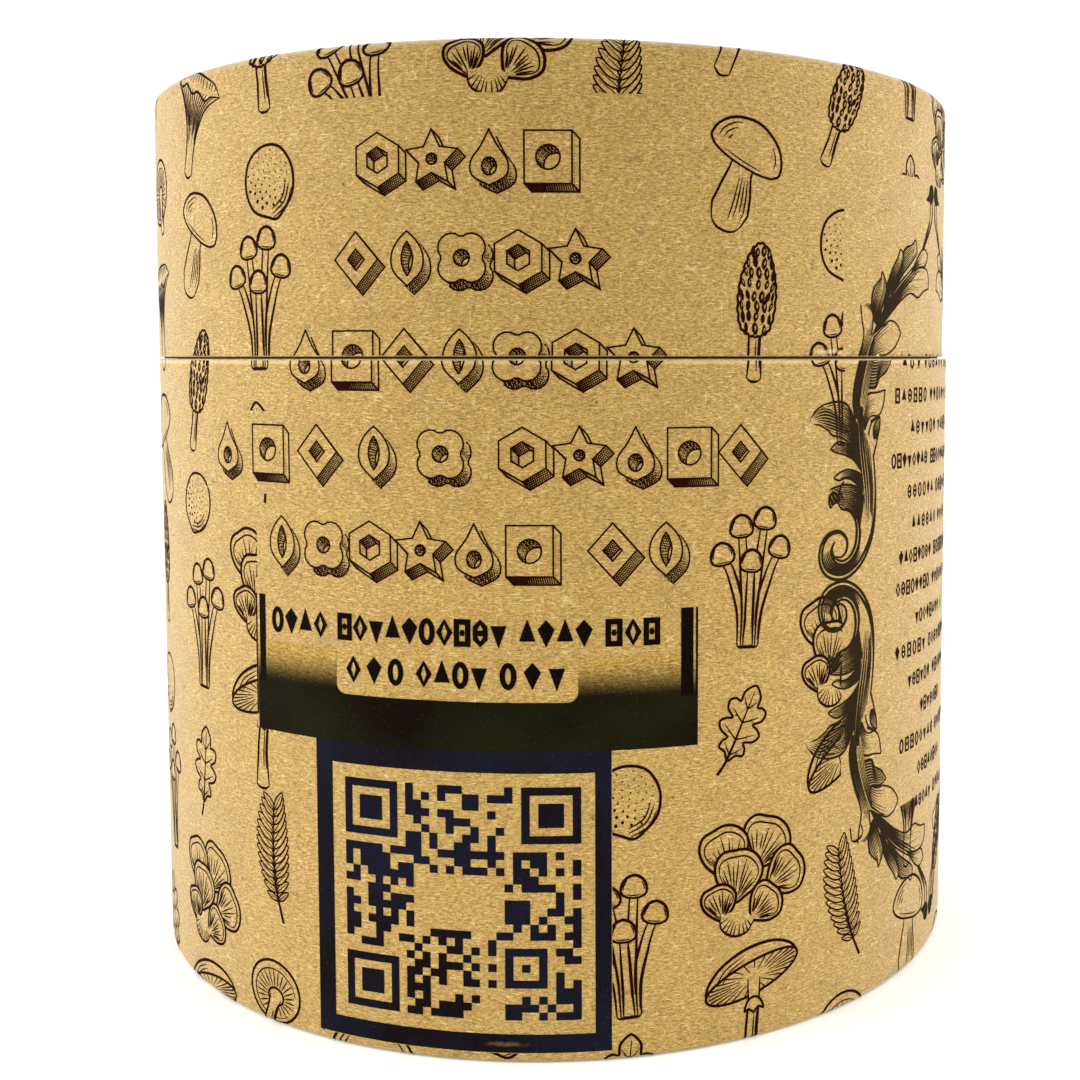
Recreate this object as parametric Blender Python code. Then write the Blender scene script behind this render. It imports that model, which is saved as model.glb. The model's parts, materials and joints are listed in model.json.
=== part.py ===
"""Round cardboard tube box with a lift-off lid, closed.

The base is a wound tube whose bottom end is rolled inwards under a flat disc. A thinner
neck tube is glued inside it and stands above the seam, where the lid slides over it. The
lid is a shorter tube, rolled inwards at its top end over a disc of its own.

Metres, +Z up. The origin is on the surface the box stands on, in the middle of the base.
"""

import math

import bmesh
import bpy

# overall sizes
BASE_RADIUS = 0.0760
LID_RADIUS = 0.0756
BASE_HEIGHT = 0.1072
TOTAL_HEIGHT = 0.1541

# the lid has a little play on its neck and sits slightly to one side
LID_OFFSET_X = -0.0004

# paperboard thicknesses
BASE_WALL = 0.0022
LID_WALL = 0.0018
NECK_WALL = 0.0015
DISC_THICKNESS = 0.0018

# the neck tube
NECK_RADIUS = 0.0731
NECK_STANDS_ABOVE_SEAM = 0.0280

# rolled rims
RIM_WIDTH = 0.0038
RIM_DEPTH = 0.0034
RIM_INNER_ROUND = 0.0010
BASE_RIM_ROUND = 0.0010
LID_RIM_ROUND = 0.0018

# cut edges at the seam, worn round by handling
BASE_EDGE_ROUND = 0.0005
LID_EDGE_ROUND = 0.0003
NECK_EDGE_ROUND = 0.0004
DISC_EDGE_ROUND = 0.0003

# clearance between pieces that touch
GAP = 0.0003

# mesh detail
SEGMENTS = 96
RIM_STEPS = 4
EDGE_STEPS = 2

KRAFT_PRINTED = (0.515, 0.312, 0.120)
KRAFT_PLAIN = (0.440, 0.270, 0.125)
PAPER_ROUGHNESS = 0.82


def clear_scene():
    for item in list(bpy.data.objects):
        bpy.data.objects.remove(item, do_unlink=True)


def paper(name, colour):
    material = bpy.data.materials.new(name)
    material.use_nodes = True
    shader = material.node_tree.nodes["Principled BSDF"]
    shader.inputs["Base Color"].default_value = (*colour, 1.0)
    shader.inputs["Roughness"].default_value = PAPER_ROUGHNESS
    shader.inputs["Metallic"].default_value = 0.0
    return material


def corner(radius, height, size, start, steps):
    """Points of a quarter circle about (radius, height), clockwise from an angle in degrees."""
    angles = [math.radians(start - 90.0 * i / steps) for i in range(steps + 1)]
    return [(radius + size * math.cos(a), height + size * math.sin(a)) for a in angles]


def rolled_tube_outline(radius, wall, length, edge_round, rim_round):
    """Outline of a tube that stands on its rolled rim, down its outer side first.

    The rim is at height 0 and the cut edge at the tube's length.
    """
    rim_inside = radius - RIM_WIDTH
    outline = corner(radius - edge_round, length - edge_round, edge_round, 90, EDGE_STEPS)
    outline += corner(radius - rim_round, rim_round, rim_round, 0, RIM_STEPS)
    outline += corner(
        rim_inside + RIM_INNER_ROUND, RIM_INNER_ROUND, RIM_INNER_ROUND, -90, RIM_STEPS
    )
    outline += [
        (rim_inside, RIM_DEPTH),
        (radius - wall, RIM_DEPTH),
        (radius - wall, length),
    ]
    return outline


def neck_outline(bottom, top):
    """Outline of the plain neck tube, with its top edge eased on both sides."""
    inside = NECK_RADIUS - NECK_WALL
    eased = top - NECK_EDGE_ROUND
    return [
        (NECK_RADIUS - NECK_EDGE_ROUND, top),
        (NECK_RADIUS, eased),
        (NECK_RADIUS, bottom),
        (inside, bottom),
        (inside, eased),
        (inside + NECK_EDGE_ROUND, top),
    ]


def upside_down(outline, top):
    """The outline turned over, so that what was at height 0 is at the given top."""
    return [(radius, top - height) for radius, height in reversed(outline)]


def shade_round(mesh):
    mesh.shade_smooth()
    mesh.set_sharp_from_angle(angle=math.radians(35))


def turned_piece(name, outline, material):
    """A closed outline swept once round the upright axis."""
    mesh = bpy.data.meshes.new(name)
    points = [(radius, 0.0, height) for radius, height in outline]
    count = len(points)
    mesh.from_pydata(points, [(i, (i + 1) % count) for i in range(count)], [])
    mesh.materials.append(material)
    piece = bpy.data.objects.new(name, mesh)
    bpy.context.collection.objects.link(piece)
    sweep = piece.modifiers.new("Sweep", "SCREW")
    sweep.axis = "Z"
    sweep.steps = SEGMENTS
    sweep.render_steps = SEGMENTS
    sweep.use_merge_vertices = True
    sweep.merge_threshold = 0.00001
    sweep.use_smooth_shade = True
    return piece


def disc_piece(name, radius, bottom, material):
    """A flat paperboard disc with eased edges."""
    mesh = bpy.data.meshes.new(name)
    shape = bmesh.new()
    bmesh.ops.create_cone(
        shape,
        cap_ends=True,
        segments=SEGMENTS,
        radius1=radius,
        radius2=radius,
        depth=DISC_THICKNESS,
    )
    rims = [edge for edge in shape.edges if abs(edge.verts[0].co.z - edge.verts[1].co.z) < 1e-7]
    bmesh.ops.bevel(
        shape, geom=rims, offset=DISC_EDGE_ROUND, segments=1, profile=0.5, affect="EDGES"
    )
    shape.to_mesh(mesh)
    shape.free()
    mesh.materials.append(material)
    shade_round(mesh)
    piece = bpy.data.objects.new(name, mesh)
    piece.location.z = bottom + DISC_THICKNESS / 2
    bpy.context.collection.objects.link(piece)
    return piece


def build_base(printed, plain):
    inside = BASE_RADIUS - BASE_WALL
    outline = rolled_tube_outline(
        BASE_RADIUS, BASE_WALL, BASE_HEIGHT, BASE_EDGE_ROUND, BASE_RIM_ROUND
    )
    disc_bottom = RIM_DEPTH + GAP
    neck_bottom = disc_bottom + DISC_THICKNESS + GAP
    neck_top = BASE_HEIGHT + NECK_STANDS_ABOVE_SEAM
    turned_piece("base_tube", outline, printed)
    disc_piece("base_disc", inside - GAP, disc_bottom, plain)
    turned_piece("base_neck", neck_outline(neck_bottom, neck_top), plain)


def build_lid(printed, plain):
    inside = LID_RADIUS - LID_WALL
    length = TOTAL_HEIGHT - BASE_HEIGHT - GAP
    outline = rolled_tube_outline(LID_RADIUS, LID_WALL, length, LID_EDGE_ROUND, LID_RIM_ROUND)
    disc_bottom = TOTAL_HEIGHT - RIM_DEPTH - GAP - DISC_THICKNESS
    tube = turned_piece("lid_tube", upside_down(outline, TOTAL_HEIGHT), printed)
    disc = disc_piece("lid_disc", inside - GAP, disc_bottom, plain)
    for piece in (tube, disc):
        piece.location.x = LID_OFFSET_X


def main():
    clear_scene()
    printed = paper("kraft_printed", KRAFT_PRINTED)
    plain = paper("kraft_plain", KRAFT_PLAIN)
    build_base(printed, plain)
    build_lid(printed, plain)


main()
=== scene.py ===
import json
import math
import random
from functools import partial

import bmesh
import bpy
import numpy
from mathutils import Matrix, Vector
from mathutils.geometry import delaunay_2d_cdt, tessellate_polygon

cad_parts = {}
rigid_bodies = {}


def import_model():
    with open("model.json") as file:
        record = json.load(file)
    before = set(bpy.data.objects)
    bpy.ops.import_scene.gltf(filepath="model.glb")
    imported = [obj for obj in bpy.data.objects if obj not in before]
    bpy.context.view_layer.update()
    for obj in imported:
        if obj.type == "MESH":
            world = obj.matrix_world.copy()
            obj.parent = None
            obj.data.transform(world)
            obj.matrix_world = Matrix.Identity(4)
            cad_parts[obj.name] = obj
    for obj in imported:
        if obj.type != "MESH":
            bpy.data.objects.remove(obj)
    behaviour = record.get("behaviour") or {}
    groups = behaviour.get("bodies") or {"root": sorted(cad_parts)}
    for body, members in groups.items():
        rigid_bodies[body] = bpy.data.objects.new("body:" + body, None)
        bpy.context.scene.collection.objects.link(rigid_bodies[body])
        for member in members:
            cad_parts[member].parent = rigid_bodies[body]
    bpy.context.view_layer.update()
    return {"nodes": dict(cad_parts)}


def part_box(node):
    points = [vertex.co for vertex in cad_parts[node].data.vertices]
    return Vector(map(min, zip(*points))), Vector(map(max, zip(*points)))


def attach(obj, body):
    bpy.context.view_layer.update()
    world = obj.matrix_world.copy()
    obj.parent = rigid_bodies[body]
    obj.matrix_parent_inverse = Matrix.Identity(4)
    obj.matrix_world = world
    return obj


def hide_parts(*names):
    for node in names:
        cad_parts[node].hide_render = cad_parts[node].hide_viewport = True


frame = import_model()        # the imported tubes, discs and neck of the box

mm = 0.001
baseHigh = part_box("base_tube")[1]
lidLow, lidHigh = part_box("lid_tube")

# the printed paper unrolled, in mm: u runs round the box from its front, v up from the floor
radius = baseHigh.x / mm
halfRound = math.pi * radius
baseTop, topEdge = baseHigh.z / mm, lidHigh.z / mm
seam = (baseHigh.z + lidLow.z) / 2 / mm
lidRadius, lidCentre = (lidHigh.x - lidLow.x) / 2 / mm, (lidHigh.x + lidLow.x) / 2 / mm


# helpers

def addNode(tree, kind, inputs=(), take=0, **settings):
    # inputs go by name or in their order; the first output comes back, or the one to take
    node = tree.nodes.new(kind)
    for name, value in settings.items():
        setattr(node, name, value)
    for socket, value in inputs.items() if isinstance(inputs, dict) else enumerate(inputs):
        if isinstance(value, bpy.types.NodeSocket):
            tree.links.new(value, node.inputs[socket])
        else:
            node.inputs[socket].default_value = value
    return node.outputs[take] if node.outputs else None


def linear(hexColour):
    channels = [int(hexColour[i:i + 2], 16) / 255 for i in (1, 3, 5)]
    channels = [c / 12.92 if c <= 0.04045 else ((c + 0.055) / 1.055) ** 2.4 for c in channels]
    return (*channels, 1.0)


def newTree(name, outputs, kind="GeometryNodeTree", **inputs):
    # the labels of each kind of socket; back come the tree, its own addNode and what it is given
    tree = bpy.data.node_groups.new(name, kind)
    for way, sockets in (("INPUT", inputs), ("OUTPUT", outputs)):
        for socket, labels in sockets.items():
            for label in labels.split(", "):
                tree.interface.new_socket(label, in_out=way, socket_type="NodeSocket" + socket)
    add = partial(addNode, tree)
    return tree, add, add("NodeGroupInput").node.outputs if inputs else None


def endTree(add, geometry, *coats):
    # real mesh with its materials, each on all of it or on a selection
    geometry = add("GeometryNodeRealizeInstances", (geometry,))
    for selection, material in coats:
        geometry = add("GeometryNodeSetMaterial", (geometry, selection, material))
    add("NodeGroupOutput", (geometry,))


def newMaterial(name):
    material = bpy.data.materials.new(name)
    material.use_nodes = True
    material.node_tree.nodes.clear()
    return material, partial(addNode, material.node_tree)


def layTone(add, colour, tone, value, low, high, share):
    # a tone lies over the colour where a value passes from low to high
    amount = add(
        "ShaderNodeMapRange", {"Value": value, "From Min": low, "From Max": high, "To Max": share},
        interpolation_type="SMOOTHSTEP"
    )
    return add("ShaderNodeMix", {0: amount, 6: colour, 7: tone}, 2, data_type="RGBA"), amount


def endMaterial(add, colour, finish, height=None, reliefMm=0.0):
    if height:
        relief = add("ShaderNodeBump", {"Height": height, "Distance": reliefMm * mm, "Strength": 1.0})
        finish = {"Normal": relief, **finish}
    surface = add("ShaderNodeBsdfPrincipled", {"Base Color": colour, **finish})
    add("ShaderNodeOutputMaterial", (surface,))


def newPiece(name, mesh=None):
    piece = bpy.data.objects.new(name, mesh or bpy.data.meshes.new(name))
    bpy.context.scene.collection.objects.link(piece)
    return piece


def growMesh(piece, tree, values):
    # runs a geometry tree on a piece and keeps what comes out as its plain mesh
    modifier = piece.modifiers.new(tree.name, "NODES")
    modifier.node_group = tree
    for item in tree.interface.items_tree:
        if item.in_out == "INPUT" and item.name in values:
            modifier[item.identifier] = values[item.name]
    graph = bpy.context.evaluated_depsgraph_get()
    grown = piece.evaluated_get(graph)
    plain = bpy.data.meshes.new_from_object(grown, preserve_all_data_layers=True, depsgraph=graph)
    piece.modifiers.remove(modifier)
    piece.data = plain


# the paper's materials

kraftLook = {
    "uvMap": "paperMm",        # the piece's own map of the unrolled sheet, in mm
    "tones": {
        "pulp": "#AC8A3D", "pulpDeep": "#886628", "pulpPale": "#C8A65F", "fibrePale": "#E3CC96",
        # the lip tone paints highlights on rounded edges; one rubbed place paints a glint, one soiled place
        # paints shade
        "fibreDark": "#70501E", "speck": "#47301A", "lip": "#D9C08C", "rubbed": "#E6D0A4", "soiled": "#74714F",
    },
    "bend": (0.3, 1.1),        # the web wavers at this scale and by this many mm
    "noises": {
        # length along the web and width across it in mm, detail, roughness
        "clouds": (7.0, 5.0, 3.0, 0.55), "grain": (0.72, 0.3, 4.0, 0.75), "fine": (0.25, 0.17, 2.0, 0.65),
        "pale": (1.7, 0.2, 2.0, 0.55), "dark": (1.4, 0.28, 3.0, 0.62),
    },
    "layers": (
        # noise, from, to, share of the tone laid on
        ("grain", 0.37, 0.50, 1.0, "pulp"), ("grain", 0.50, 0.62, 0.95, "pulpPale"),
        ("clouds", 0.35, 0.72, 0.25, "pulpDeep"), ("fine", 0.52, 0.64, 0.45, "fibreDark"),
        ("fine", 0.46, 0.34, 0.28, "fibrePale"),
        ("pale", 0.60, 0.68, 0.55, "fibrePale"), ("dark", 0.56, 0.64, 0.6, "fibreDark"),
    ),
    # rubbed and soiled places, with painted highlights and painted shade among them
    "wear": (
        # middle u and v, half width and height in mm, share and tone
        (0.0, seam - 0.65, 900.0, 0.45, 0.5, "lip"),           # painted highlight along the base's rounded lip under the lid
        (0.0, topEdge + 0.5, 900.0, 1.9, 0.5, "lip"),          # painted highlight on the lid's rolled shoulder, where the light from above falls
        (0.0, -0.3, 900.0, 0.75, 0.8, "soiled"),               # painted shadow: a grey band along the foot, where it stands on the floor
        (59.0, seam + 0.3, 0.6, 0.45, 1.0, "rubbed"),          # a rubbed chip at the seam
        # painted highlight: a pale glint streak on the lid just above the seam
        (46.5, seam + 1.0, 4.6, 0.5, 0.6, "rubbed"),
        (66.0, 0.9, 6.0, 1.6, 0.5, "soiled"),                  # a smudge at the foot
        (-8.5, 3.0, 4.0, 0.5, 0.18, "rubbed"),                 # a scuff on the frame
    ),
    "wearEdge": (1.6, 1.9, 0.9),     # how ragged each of these places is, and how far out it starts and is full
    "hairMm": (3.2, 1.9),            # lone curved fibres cross patches of this length and width
    "hairs": ((0, 0.4, "fibrePale"), (1, 0.6, "fibreDark")),     # channel of their noise, share and tone
    "hairWidth": (0.015, 0.005), "hairPatches": (0.53, 0.59),
    "speckMm": 6.5,                  # one bark speck in a patch this wide
    "speckSize": (0.082, 0.062),     # share of its patch, to its edge and to its full tone
    "speckRare": 0.45, "speckTone": 0.75, "speckRagged": 0.07,
    "heights": (("pale", 0.7), ("fine", 0.35)),     # how high these stand over the grain
    "reliefMm": 0.028,
    "finish": {
        "Roughness": 0.78, "IOR": 1.47, "Specular IOR Level": 0.4,
        "Sheen Weight": 0.32, "Sheen Roughness": 0.45, "Sheen Tint": (1.0, 1.0, 1.0, 1.0),
    },
}


def kraftSheetGroup():
    # unbleached kraft: long brown fibres lying mostly along the web, pale and dark ones, bark specks
    look = kraftLook
    tones = {name: linear(tone) for name, tone in look["tones"].items()}
    tree, add, _ = newTree("kraftSheet", {"Color": "Colour", "Float": "Height, Worn"}, "ShaderNodeTree")
    sheet = add("ShaderNodeUVMap", uv_map=look["uvMap"])
    bend = add("ShaderNodeTexNoise", {"Vector": sheet, "Scale": look["bend"][0], "Detail": 2.0}, "Color")
    bend = add("ShaderNodeVectorMath", (bend, (0.5, 0.5, 0.5)), operation="SUBTRACT")
    bend = add("ShaderNodeVectorMath", {0: bend, "Scale": look["bend"][1]}, operation="SCALE")
    web = add("ShaderNodeVectorMath", (sheet, bend), operation="ADD")
    noises = {}
    for i, (name, (length, width, detail, rough)) in enumerate(look["noises"].items()):
        place = add(
            "ShaderNodeMapping",
            {"Vector": web, "Location": (17.0 * i, 9.0 * i, 0.0), "Scale": (1 / length, 1 / width, 1.0)}
        )
        noise = {"Vector": place, "Scale": 1.0, "Detail": detail, "Roughness": rough}
        noises[name] = add("ShaderNodeTexNoise", noise, "Fac")
    colour = tones["pulpDeep"]
    for name, low, high, share, tone in look["layers"]:
        colour, _ = layTone(add, colour, tones[tone], noises[name], low, high, share)

    # a lone fibre lies where its noise passes a half, in the patches where a third noise is high
    patches = (1 / look["hairMm"][0], 1 / look["hairMm"][1], 1.0)
    hairs = add("ShaderNodeMapping", {"Vector": sheet, "Scale": patches})
    hairs = add("ShaderNodeTexNoise", {"Vector": hairs, "Scale": 1.0, "Detail": 0.0}, "Color")
    hairs = add("ShaderNodeSeparateColor", (hairs,)).node.outputs
    for channel, share, tone in look["hairs"]:
        off = add("ShaderNodeMath", (hairs[channel], 0.5), operation="SUBTRACT")
        off = add("ShaderNodeMath", (off,), operation="ABSOLUTE")
        short = add("ShaderNodeMapRange", (hairs[2], *look["hairPatches"], 0.0, share))
        amount = add("ShaderNodeMapRange", (off, *look["hairWidth"], 0.0, short))
        colour = add("ShaderNodeMix", {0: amount, 6: colour, 7: tones[tone]}, 2, data_type="RGBA")

    bark = add("ShaderNodeTexVoronoi", {"Vector": sheet, "Scale": 1 / look["speckMm"]}).node.outputs
    ragged = (noises["fine"], look["speckRagged"], bark["Distance"])
    ragged = add("ShaderNodeMath", ragged, operation="MULTIPLY_ADD")
    chosen = add("ShaderNodeSeparateColor", (bark["Color"],))
    chosen = add("ShaderNodeMath", (chosen, look["speckRare"]), operation="GREATER_THAN")
    full = add("ShaderNodeMath", (chosen, look["speckTone"]), operation="MULTIPLY")
    colour, _ = layTone(add, colour, tones["speck"], ragged, *look["speckSize"], full)

    # rubbed and soiled places, and strips of painted highlight and painted shade at the rims, the seam and the
    # foot
    wornAndGlint = 0.0
    rough, start, stop = look["wearEdge"]
    broken = {"Vector": sheet, "Scale": 0.7, "Detail": 4.0, "Roughness": 0.65}
    broken = add("ShaderNodeTexNoise", broken, "Fac")
    for u, v, wide, tall, share, tone in look["wear"]:
        near = add(
            "ShaderNodeMapping",
            {"Vector": sheet, "Location": (-u / wide, -v / tall, 0.0), "Scale": (1 / wide, 1 / tall, 1.0)}
        )
        away = add("ShaderNodeVectorMath", (near,), "Value", operation="LENGTH")
        away = add("ShaderNodeMath", (broken, rough, away), operation="MULTIPLY_ADD")
        colour, amount = layTone(add, colour, tones[tone], away, start, stop, share)
        # the rubbed places, the painted glint among them, also thin the ink over them
        if tone == "rubbed":
            wornAndGlint = add("ShaderNodeMath", (amount, wornAndGlint), operation="MAXIMUM")

    height = noises["grain"]
    for name, rise in look["heights"]:
        height = add("ShaderNodeMath", (noises[name], rise, height), operation="MULTIPLY_ADD")
    add("NodeGroupOutput", (colour, height, wornAndGlint))
    return tree


kraftGroup = kraftSheetGroup()


def unbleachedKraft(name):
    # machine-finished kraft paper: matt, a faint fibre nap that goes pale at a low angle
    material, add = newMaterial(name)
    paper = add("ShaderNodeGroup", node_tree=kraftGroup).node.outputs
    endMaterial(add, paper["Colour"], kraftLook["finish"], paper["Height"], kraftLook["reliefMm"])
    return material


boardLook = {
    "board": "#A9814A",
    "layers": (
        # scale, from, to, share, tone; the last one's noise also gives the relief
        (0.12, 0.42, 0.68, 0.35, "#7E5A2C"), (1.5, 0.5, 0.72, 0.55, "#C9A873"),
        (2.6, 0.55, 0.7, 0.5, "#7E5A2C"), (1.1, 0.66, 0.72, 0.7, "#4A3420"),
    ),
    "reliefMm": 0.05,
    "finish": {
        "Roughness": 0.86, "IOR": 1.47, "Specular IOR Level": 0.3, "Sheen Weight": 0.2, "Sheen Roughness": 0.5,
    },
}


def recycledBoard(name, lit=1.0):
    # uncoated board of recycled kraft: coarser and greyer than the cover paper, matt, with dark flecks;
    # lit scales its colour: the copy for the cut plies in the seam's groove is darkened as painted shade
    material, add = newMaterial(name)
    place = add("ShaderNodeTexCoord", (), "Object")
    place = add("ShaderNodeVectorMath", {0: place, "Scale": 1 / mm}, operation="SCALE")
    colour = linear(boardLook["board"])
    for scale, low, high, share, tone in boardLook["layers"]:
        noise = {"Vector": place, "Scale": scale, "Detail": 3.0, "Roughness": 0.6}
        noise = add("ShaderNodeTexNoise", noise, "Fac")
        colour, _ = layTone(add, colour, linear(tone), noise, low, high, share)
    colour = add("ShaderNodeVectorMath", {0: colour, "Scale": lit}, operation="SCALE")
    endMaterial(add, colour, boardLook["finish"], noise, boardLook["reliefMm"])
    return material


kraftPrinted = unbleachedKraft("unbleachedKraftPaper")
kraftPlain = recycledBoard("recycledKraftBoard")
# painted shade: the board at a fifth of its brightness, on the cut plies in the groove at the seam
pliesPaintedShade = recycledBoard("gluedCutPlies", 0.2)
print("paper materials made")


# the walls

baseTube = {
    "wall": 2.2, "rimWidth": 3.8, "rimDepth": 3.4, "rimRound": 1.0, "rimInnerRound": 1.0, "edgeRound": 0.28,
    "rowMm": 3.0
}
lidTube = {
    "wall": 1.8, "rimWidth": 3.8, "rimDepth": 3.4, "rimRound": 1.8, "rimInnerRound": 1.0,
    "edgeRound": 0.12, "rowMm": 3.0,
    # its plies rest on the base, the cover paper ends this far above them
    "gap": 0.36, "plies": 0.8, "rest": 0.05,
}
turning = {
    "Columns": 360,            # about one every 1.3 mm round the box
    "Lap step": 0.14,          # the cover paper laps over itself at the back, in mm
    "Lap width": 9.0, "Lap ease": 5.0,
    "Ripple": 0.16,            # hand-rolled board is never quite round, in mm
    "rippleRing": 1.6, "rippleRise": 0.022, "rippleScale": 1.3,
    "mergeMm": 0.004, "creaseDeg": 38,
    "Plies rows": 1.1,         # the rows of cut plies lie within this many of their middle one
}


def arc(across, up, size, start, end, steps):
    angles = [math.radians(start + (end - start) * i / steps) for i in range(steps + 1)]
    return [(across + size * math.cos(a), up + size * math.sin(a)) for a in angles]


def wallRows(outer, low, high, step):
    count = math.ceil((high - low) / step)
    return [(outer, low + (high - low) * i / count) for i in range(1, count)]


def baseOutline(s):
    # closed outline in (distance from the axis, height): under the rim, up the outside, down the inside
    rim, inside = radius - s["rimWidth"], radius - s["wall"]
    inner, rolled, edge = s["rimInnerRound"], s["rimRound"], s["edgeRound"]
    return [
        (rim, s["rimDepth"]), *arc(rim + inner, inner, inner, 180, 270, 6),
        *arc(radius - rolled, rolled, rolled, 270, 360, 8),
        *wallRows(radius, rolled, baseTop - edge, s["rowMm"]),
        *arc(radius - edge, baseTop - edge, edge, 0, 90, 5), (inside, baseTop), (inside, s["rimDepth"])
    ]


def lidOutline(s):
    # the same for the lid, from its cut edge at the seam up and over its rolled rim
    rim, inside, plies = (lidRadius - s[part] for part in ("rimWidth", "wall", "plies"))
    inner, rolled, edge = s["rimInnerRound"], s["rimRound"], s["edgeRound"]
    rest, low = baseTop + s["rest"], baseTop + s["gap"]
    return [
        (inside, rest), (plies, rest), (plies, low), *arc(lidRadius - edge, low + edge, edge, 270, 360, 4),
        *wallRows(lidRadius, low + edge, topEdge - rolled, s["rowMm"]),
        *arc(lidRadius - rolled, topEdge - rolled, rolled, 0, 90, 10),
        *arc(rim + inner, topEdge - inner, inner, 90, 180, 6), (rim, topEdge - s["rimDepth"]),
        (inside, topEdge - s["rimDepth"])
    ]


def outlineGuide(name, outline):
    # a curve that the trees turn round the axis, and its length up to the floor's level on the wall
    curve = bpy.data.curves.new(name, "CURVE")
    curve.dimensions = "3D"
    spline = curve.splines.new("POLY")
    spline.points.add(len(outline) - 1)
    for point, (across, up) in zip(spline.points, outline):
        point.co = (across, 0.0, up, 1.0)
    spline.use_cyclic_u = True
    outer = max(across for across, up in outline)
    first = next(i for i, (across, up) in enumerate(outline) if across > outer - 1e-6)
    length = 0.0
    for a, b in zip(outline[:first], outline[1:]):
        length += math.dist(a, b)
    return newPiece(name, curve), length - outline[first][1]


surfaceValues = "Lap step, Lap width, Lap ease, Ripple, Centre"


def paperSurfaceGroup():
    # where a point of the unrolled sheet lies on the tube, a little proud of the board if asked
    tree, add, given = newTree(
        "paperSurface", {"Vector": "Position"}, Geometry="Outline",
        Float="Run, Round, Proud, " + surfaceValues
    )
    sample = {"Curves": given["Outline"], "Length": given["Run"]}
    sample = add("GeometryNodeSampleCurve", sample, mode="LENGTH").node.outputs
    at = add("ShaderNodeSeparateXYZ", (sample["Position"],)).node.outputs
    along = add("ShaderNodeSeparateXYZ", (sample["Tangent"],)).node.outputs
    facing = add("ShaderNodeMath", (along[2], 0.0), operation="MAXIMUM")
    angle = add("ShaderNodeMath", (given["Round"], radius), operation="DIVIDE")

    lapStart = add("ShaderNodeMath", (halfRound, given["Lap width"]), operation="SUBTRACT")
    lapEase = add("ShaderNodeMath", (lapStart, given["Lap ease"]), operation="SUBTRACT")
    lap = add(
        "ShaderNodeMapRange", (given["Round"], lapEase, lapStart, 0.0, given["Lap step"]),
        interpolation_type="SMOOTHSTEP"
    )
    # the ripple's noise is read on a small ring, so it meets itself at the back
    ring = {"Vector": (0.0, -turning["rippleRing"], 0.0), "Angle": angle}
    ring = add("ShaderNodeVectorRotate", ring, rotation_type="Z_AXIS")
    ring = add("ShaderNodeSeparateXYZ", (ring,)).node.outputs
    level = add("ShaderNodeMath", (at[2], turning["rippleRise"]), operation="MULTIPLY")
    place = add("ShaderNodeCombineXYZ", (ring[0], ring[1], level))
    ripple = {"Vector": place, "Scale": turning["rippleScale"], "Detail": 1.0}
    ripple = add("ShaderNodeTexNoise", ripple)
    ripple = add("ShaderNodeMath", (ripple, 0.5), operation="SUBTRACT")
    ripple = add("ShaderNodeMath", (ripple, given["Ripple"]), operation="MULTIPLY")

    swell = add("ShaderNodeMath", (lap, ripple), operation="ADD")
    swell = add("ShaderNodeMath", (swell, given["Proud"]), operation="ADD")
    across = add("ShaderNodeMath", (swell, facing, at[0]), operation="MULTIPLY_ADD")
    back = add("ShaderNodeMath", (across, -1.0), operation="MULTIPLY")
    sink = add("ShaderNodeMath", (along[0], given["Proud"]), operation="MULTIPLY")
    up = add("ShaderNodeMath", (at[2], sink), operation="SUBTRACT")
    point = add("ShaderNodeCombineXYZ", (0.0, back, up))
    point = add("ShaderNodeVectorRotate", {"Vector": point, "Angle": angle}, rotation_type="Z_AXIS")
    centre = add("ShaderNodeCombineXYZ", (given["Centre"],))
    point = add("ShaderNodeVectorMath", (point, centre), operation="ADD")
    point = add("ShaderNodeVectorMath", {0: point, "Scale": mm}, operation="SCALE")
    add("NodeGroupOutput", (point,))
    return tree


paperSurface = paperSurfaceGroup()


def onPaper(add, given, geometry, outline, run, around, proud=0.0):
    # moves a geometry's points to the paper's surface
    values = {"Outline": outline, "Run": run, "Round": around, "Proud": proud}
    values.update((label, given[label]) for label in surfaceValues.split(", "))
    surface = add("GeometryNodeGroup", values, node_tree=paperSurface)
    return add("GeometryNodeSetPosition", {"Geometry": geometry, "Position": surface})


def storeSheet(add, geometry, place):
    # the sheet's own map, from the place on it of each point
    place = add("GeometryNodeFieldOnDomain", (place,), data_type="FLOAT_VECTOR", domain="POINT")
    stored = {"Geometry": geometry, "Name": kraftLook["uvMap"], "Value": place}
    return add("GeometryNodeStoreNamedAttribute", stored, data_type="FLOAT2", domain="CORNER")


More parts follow.
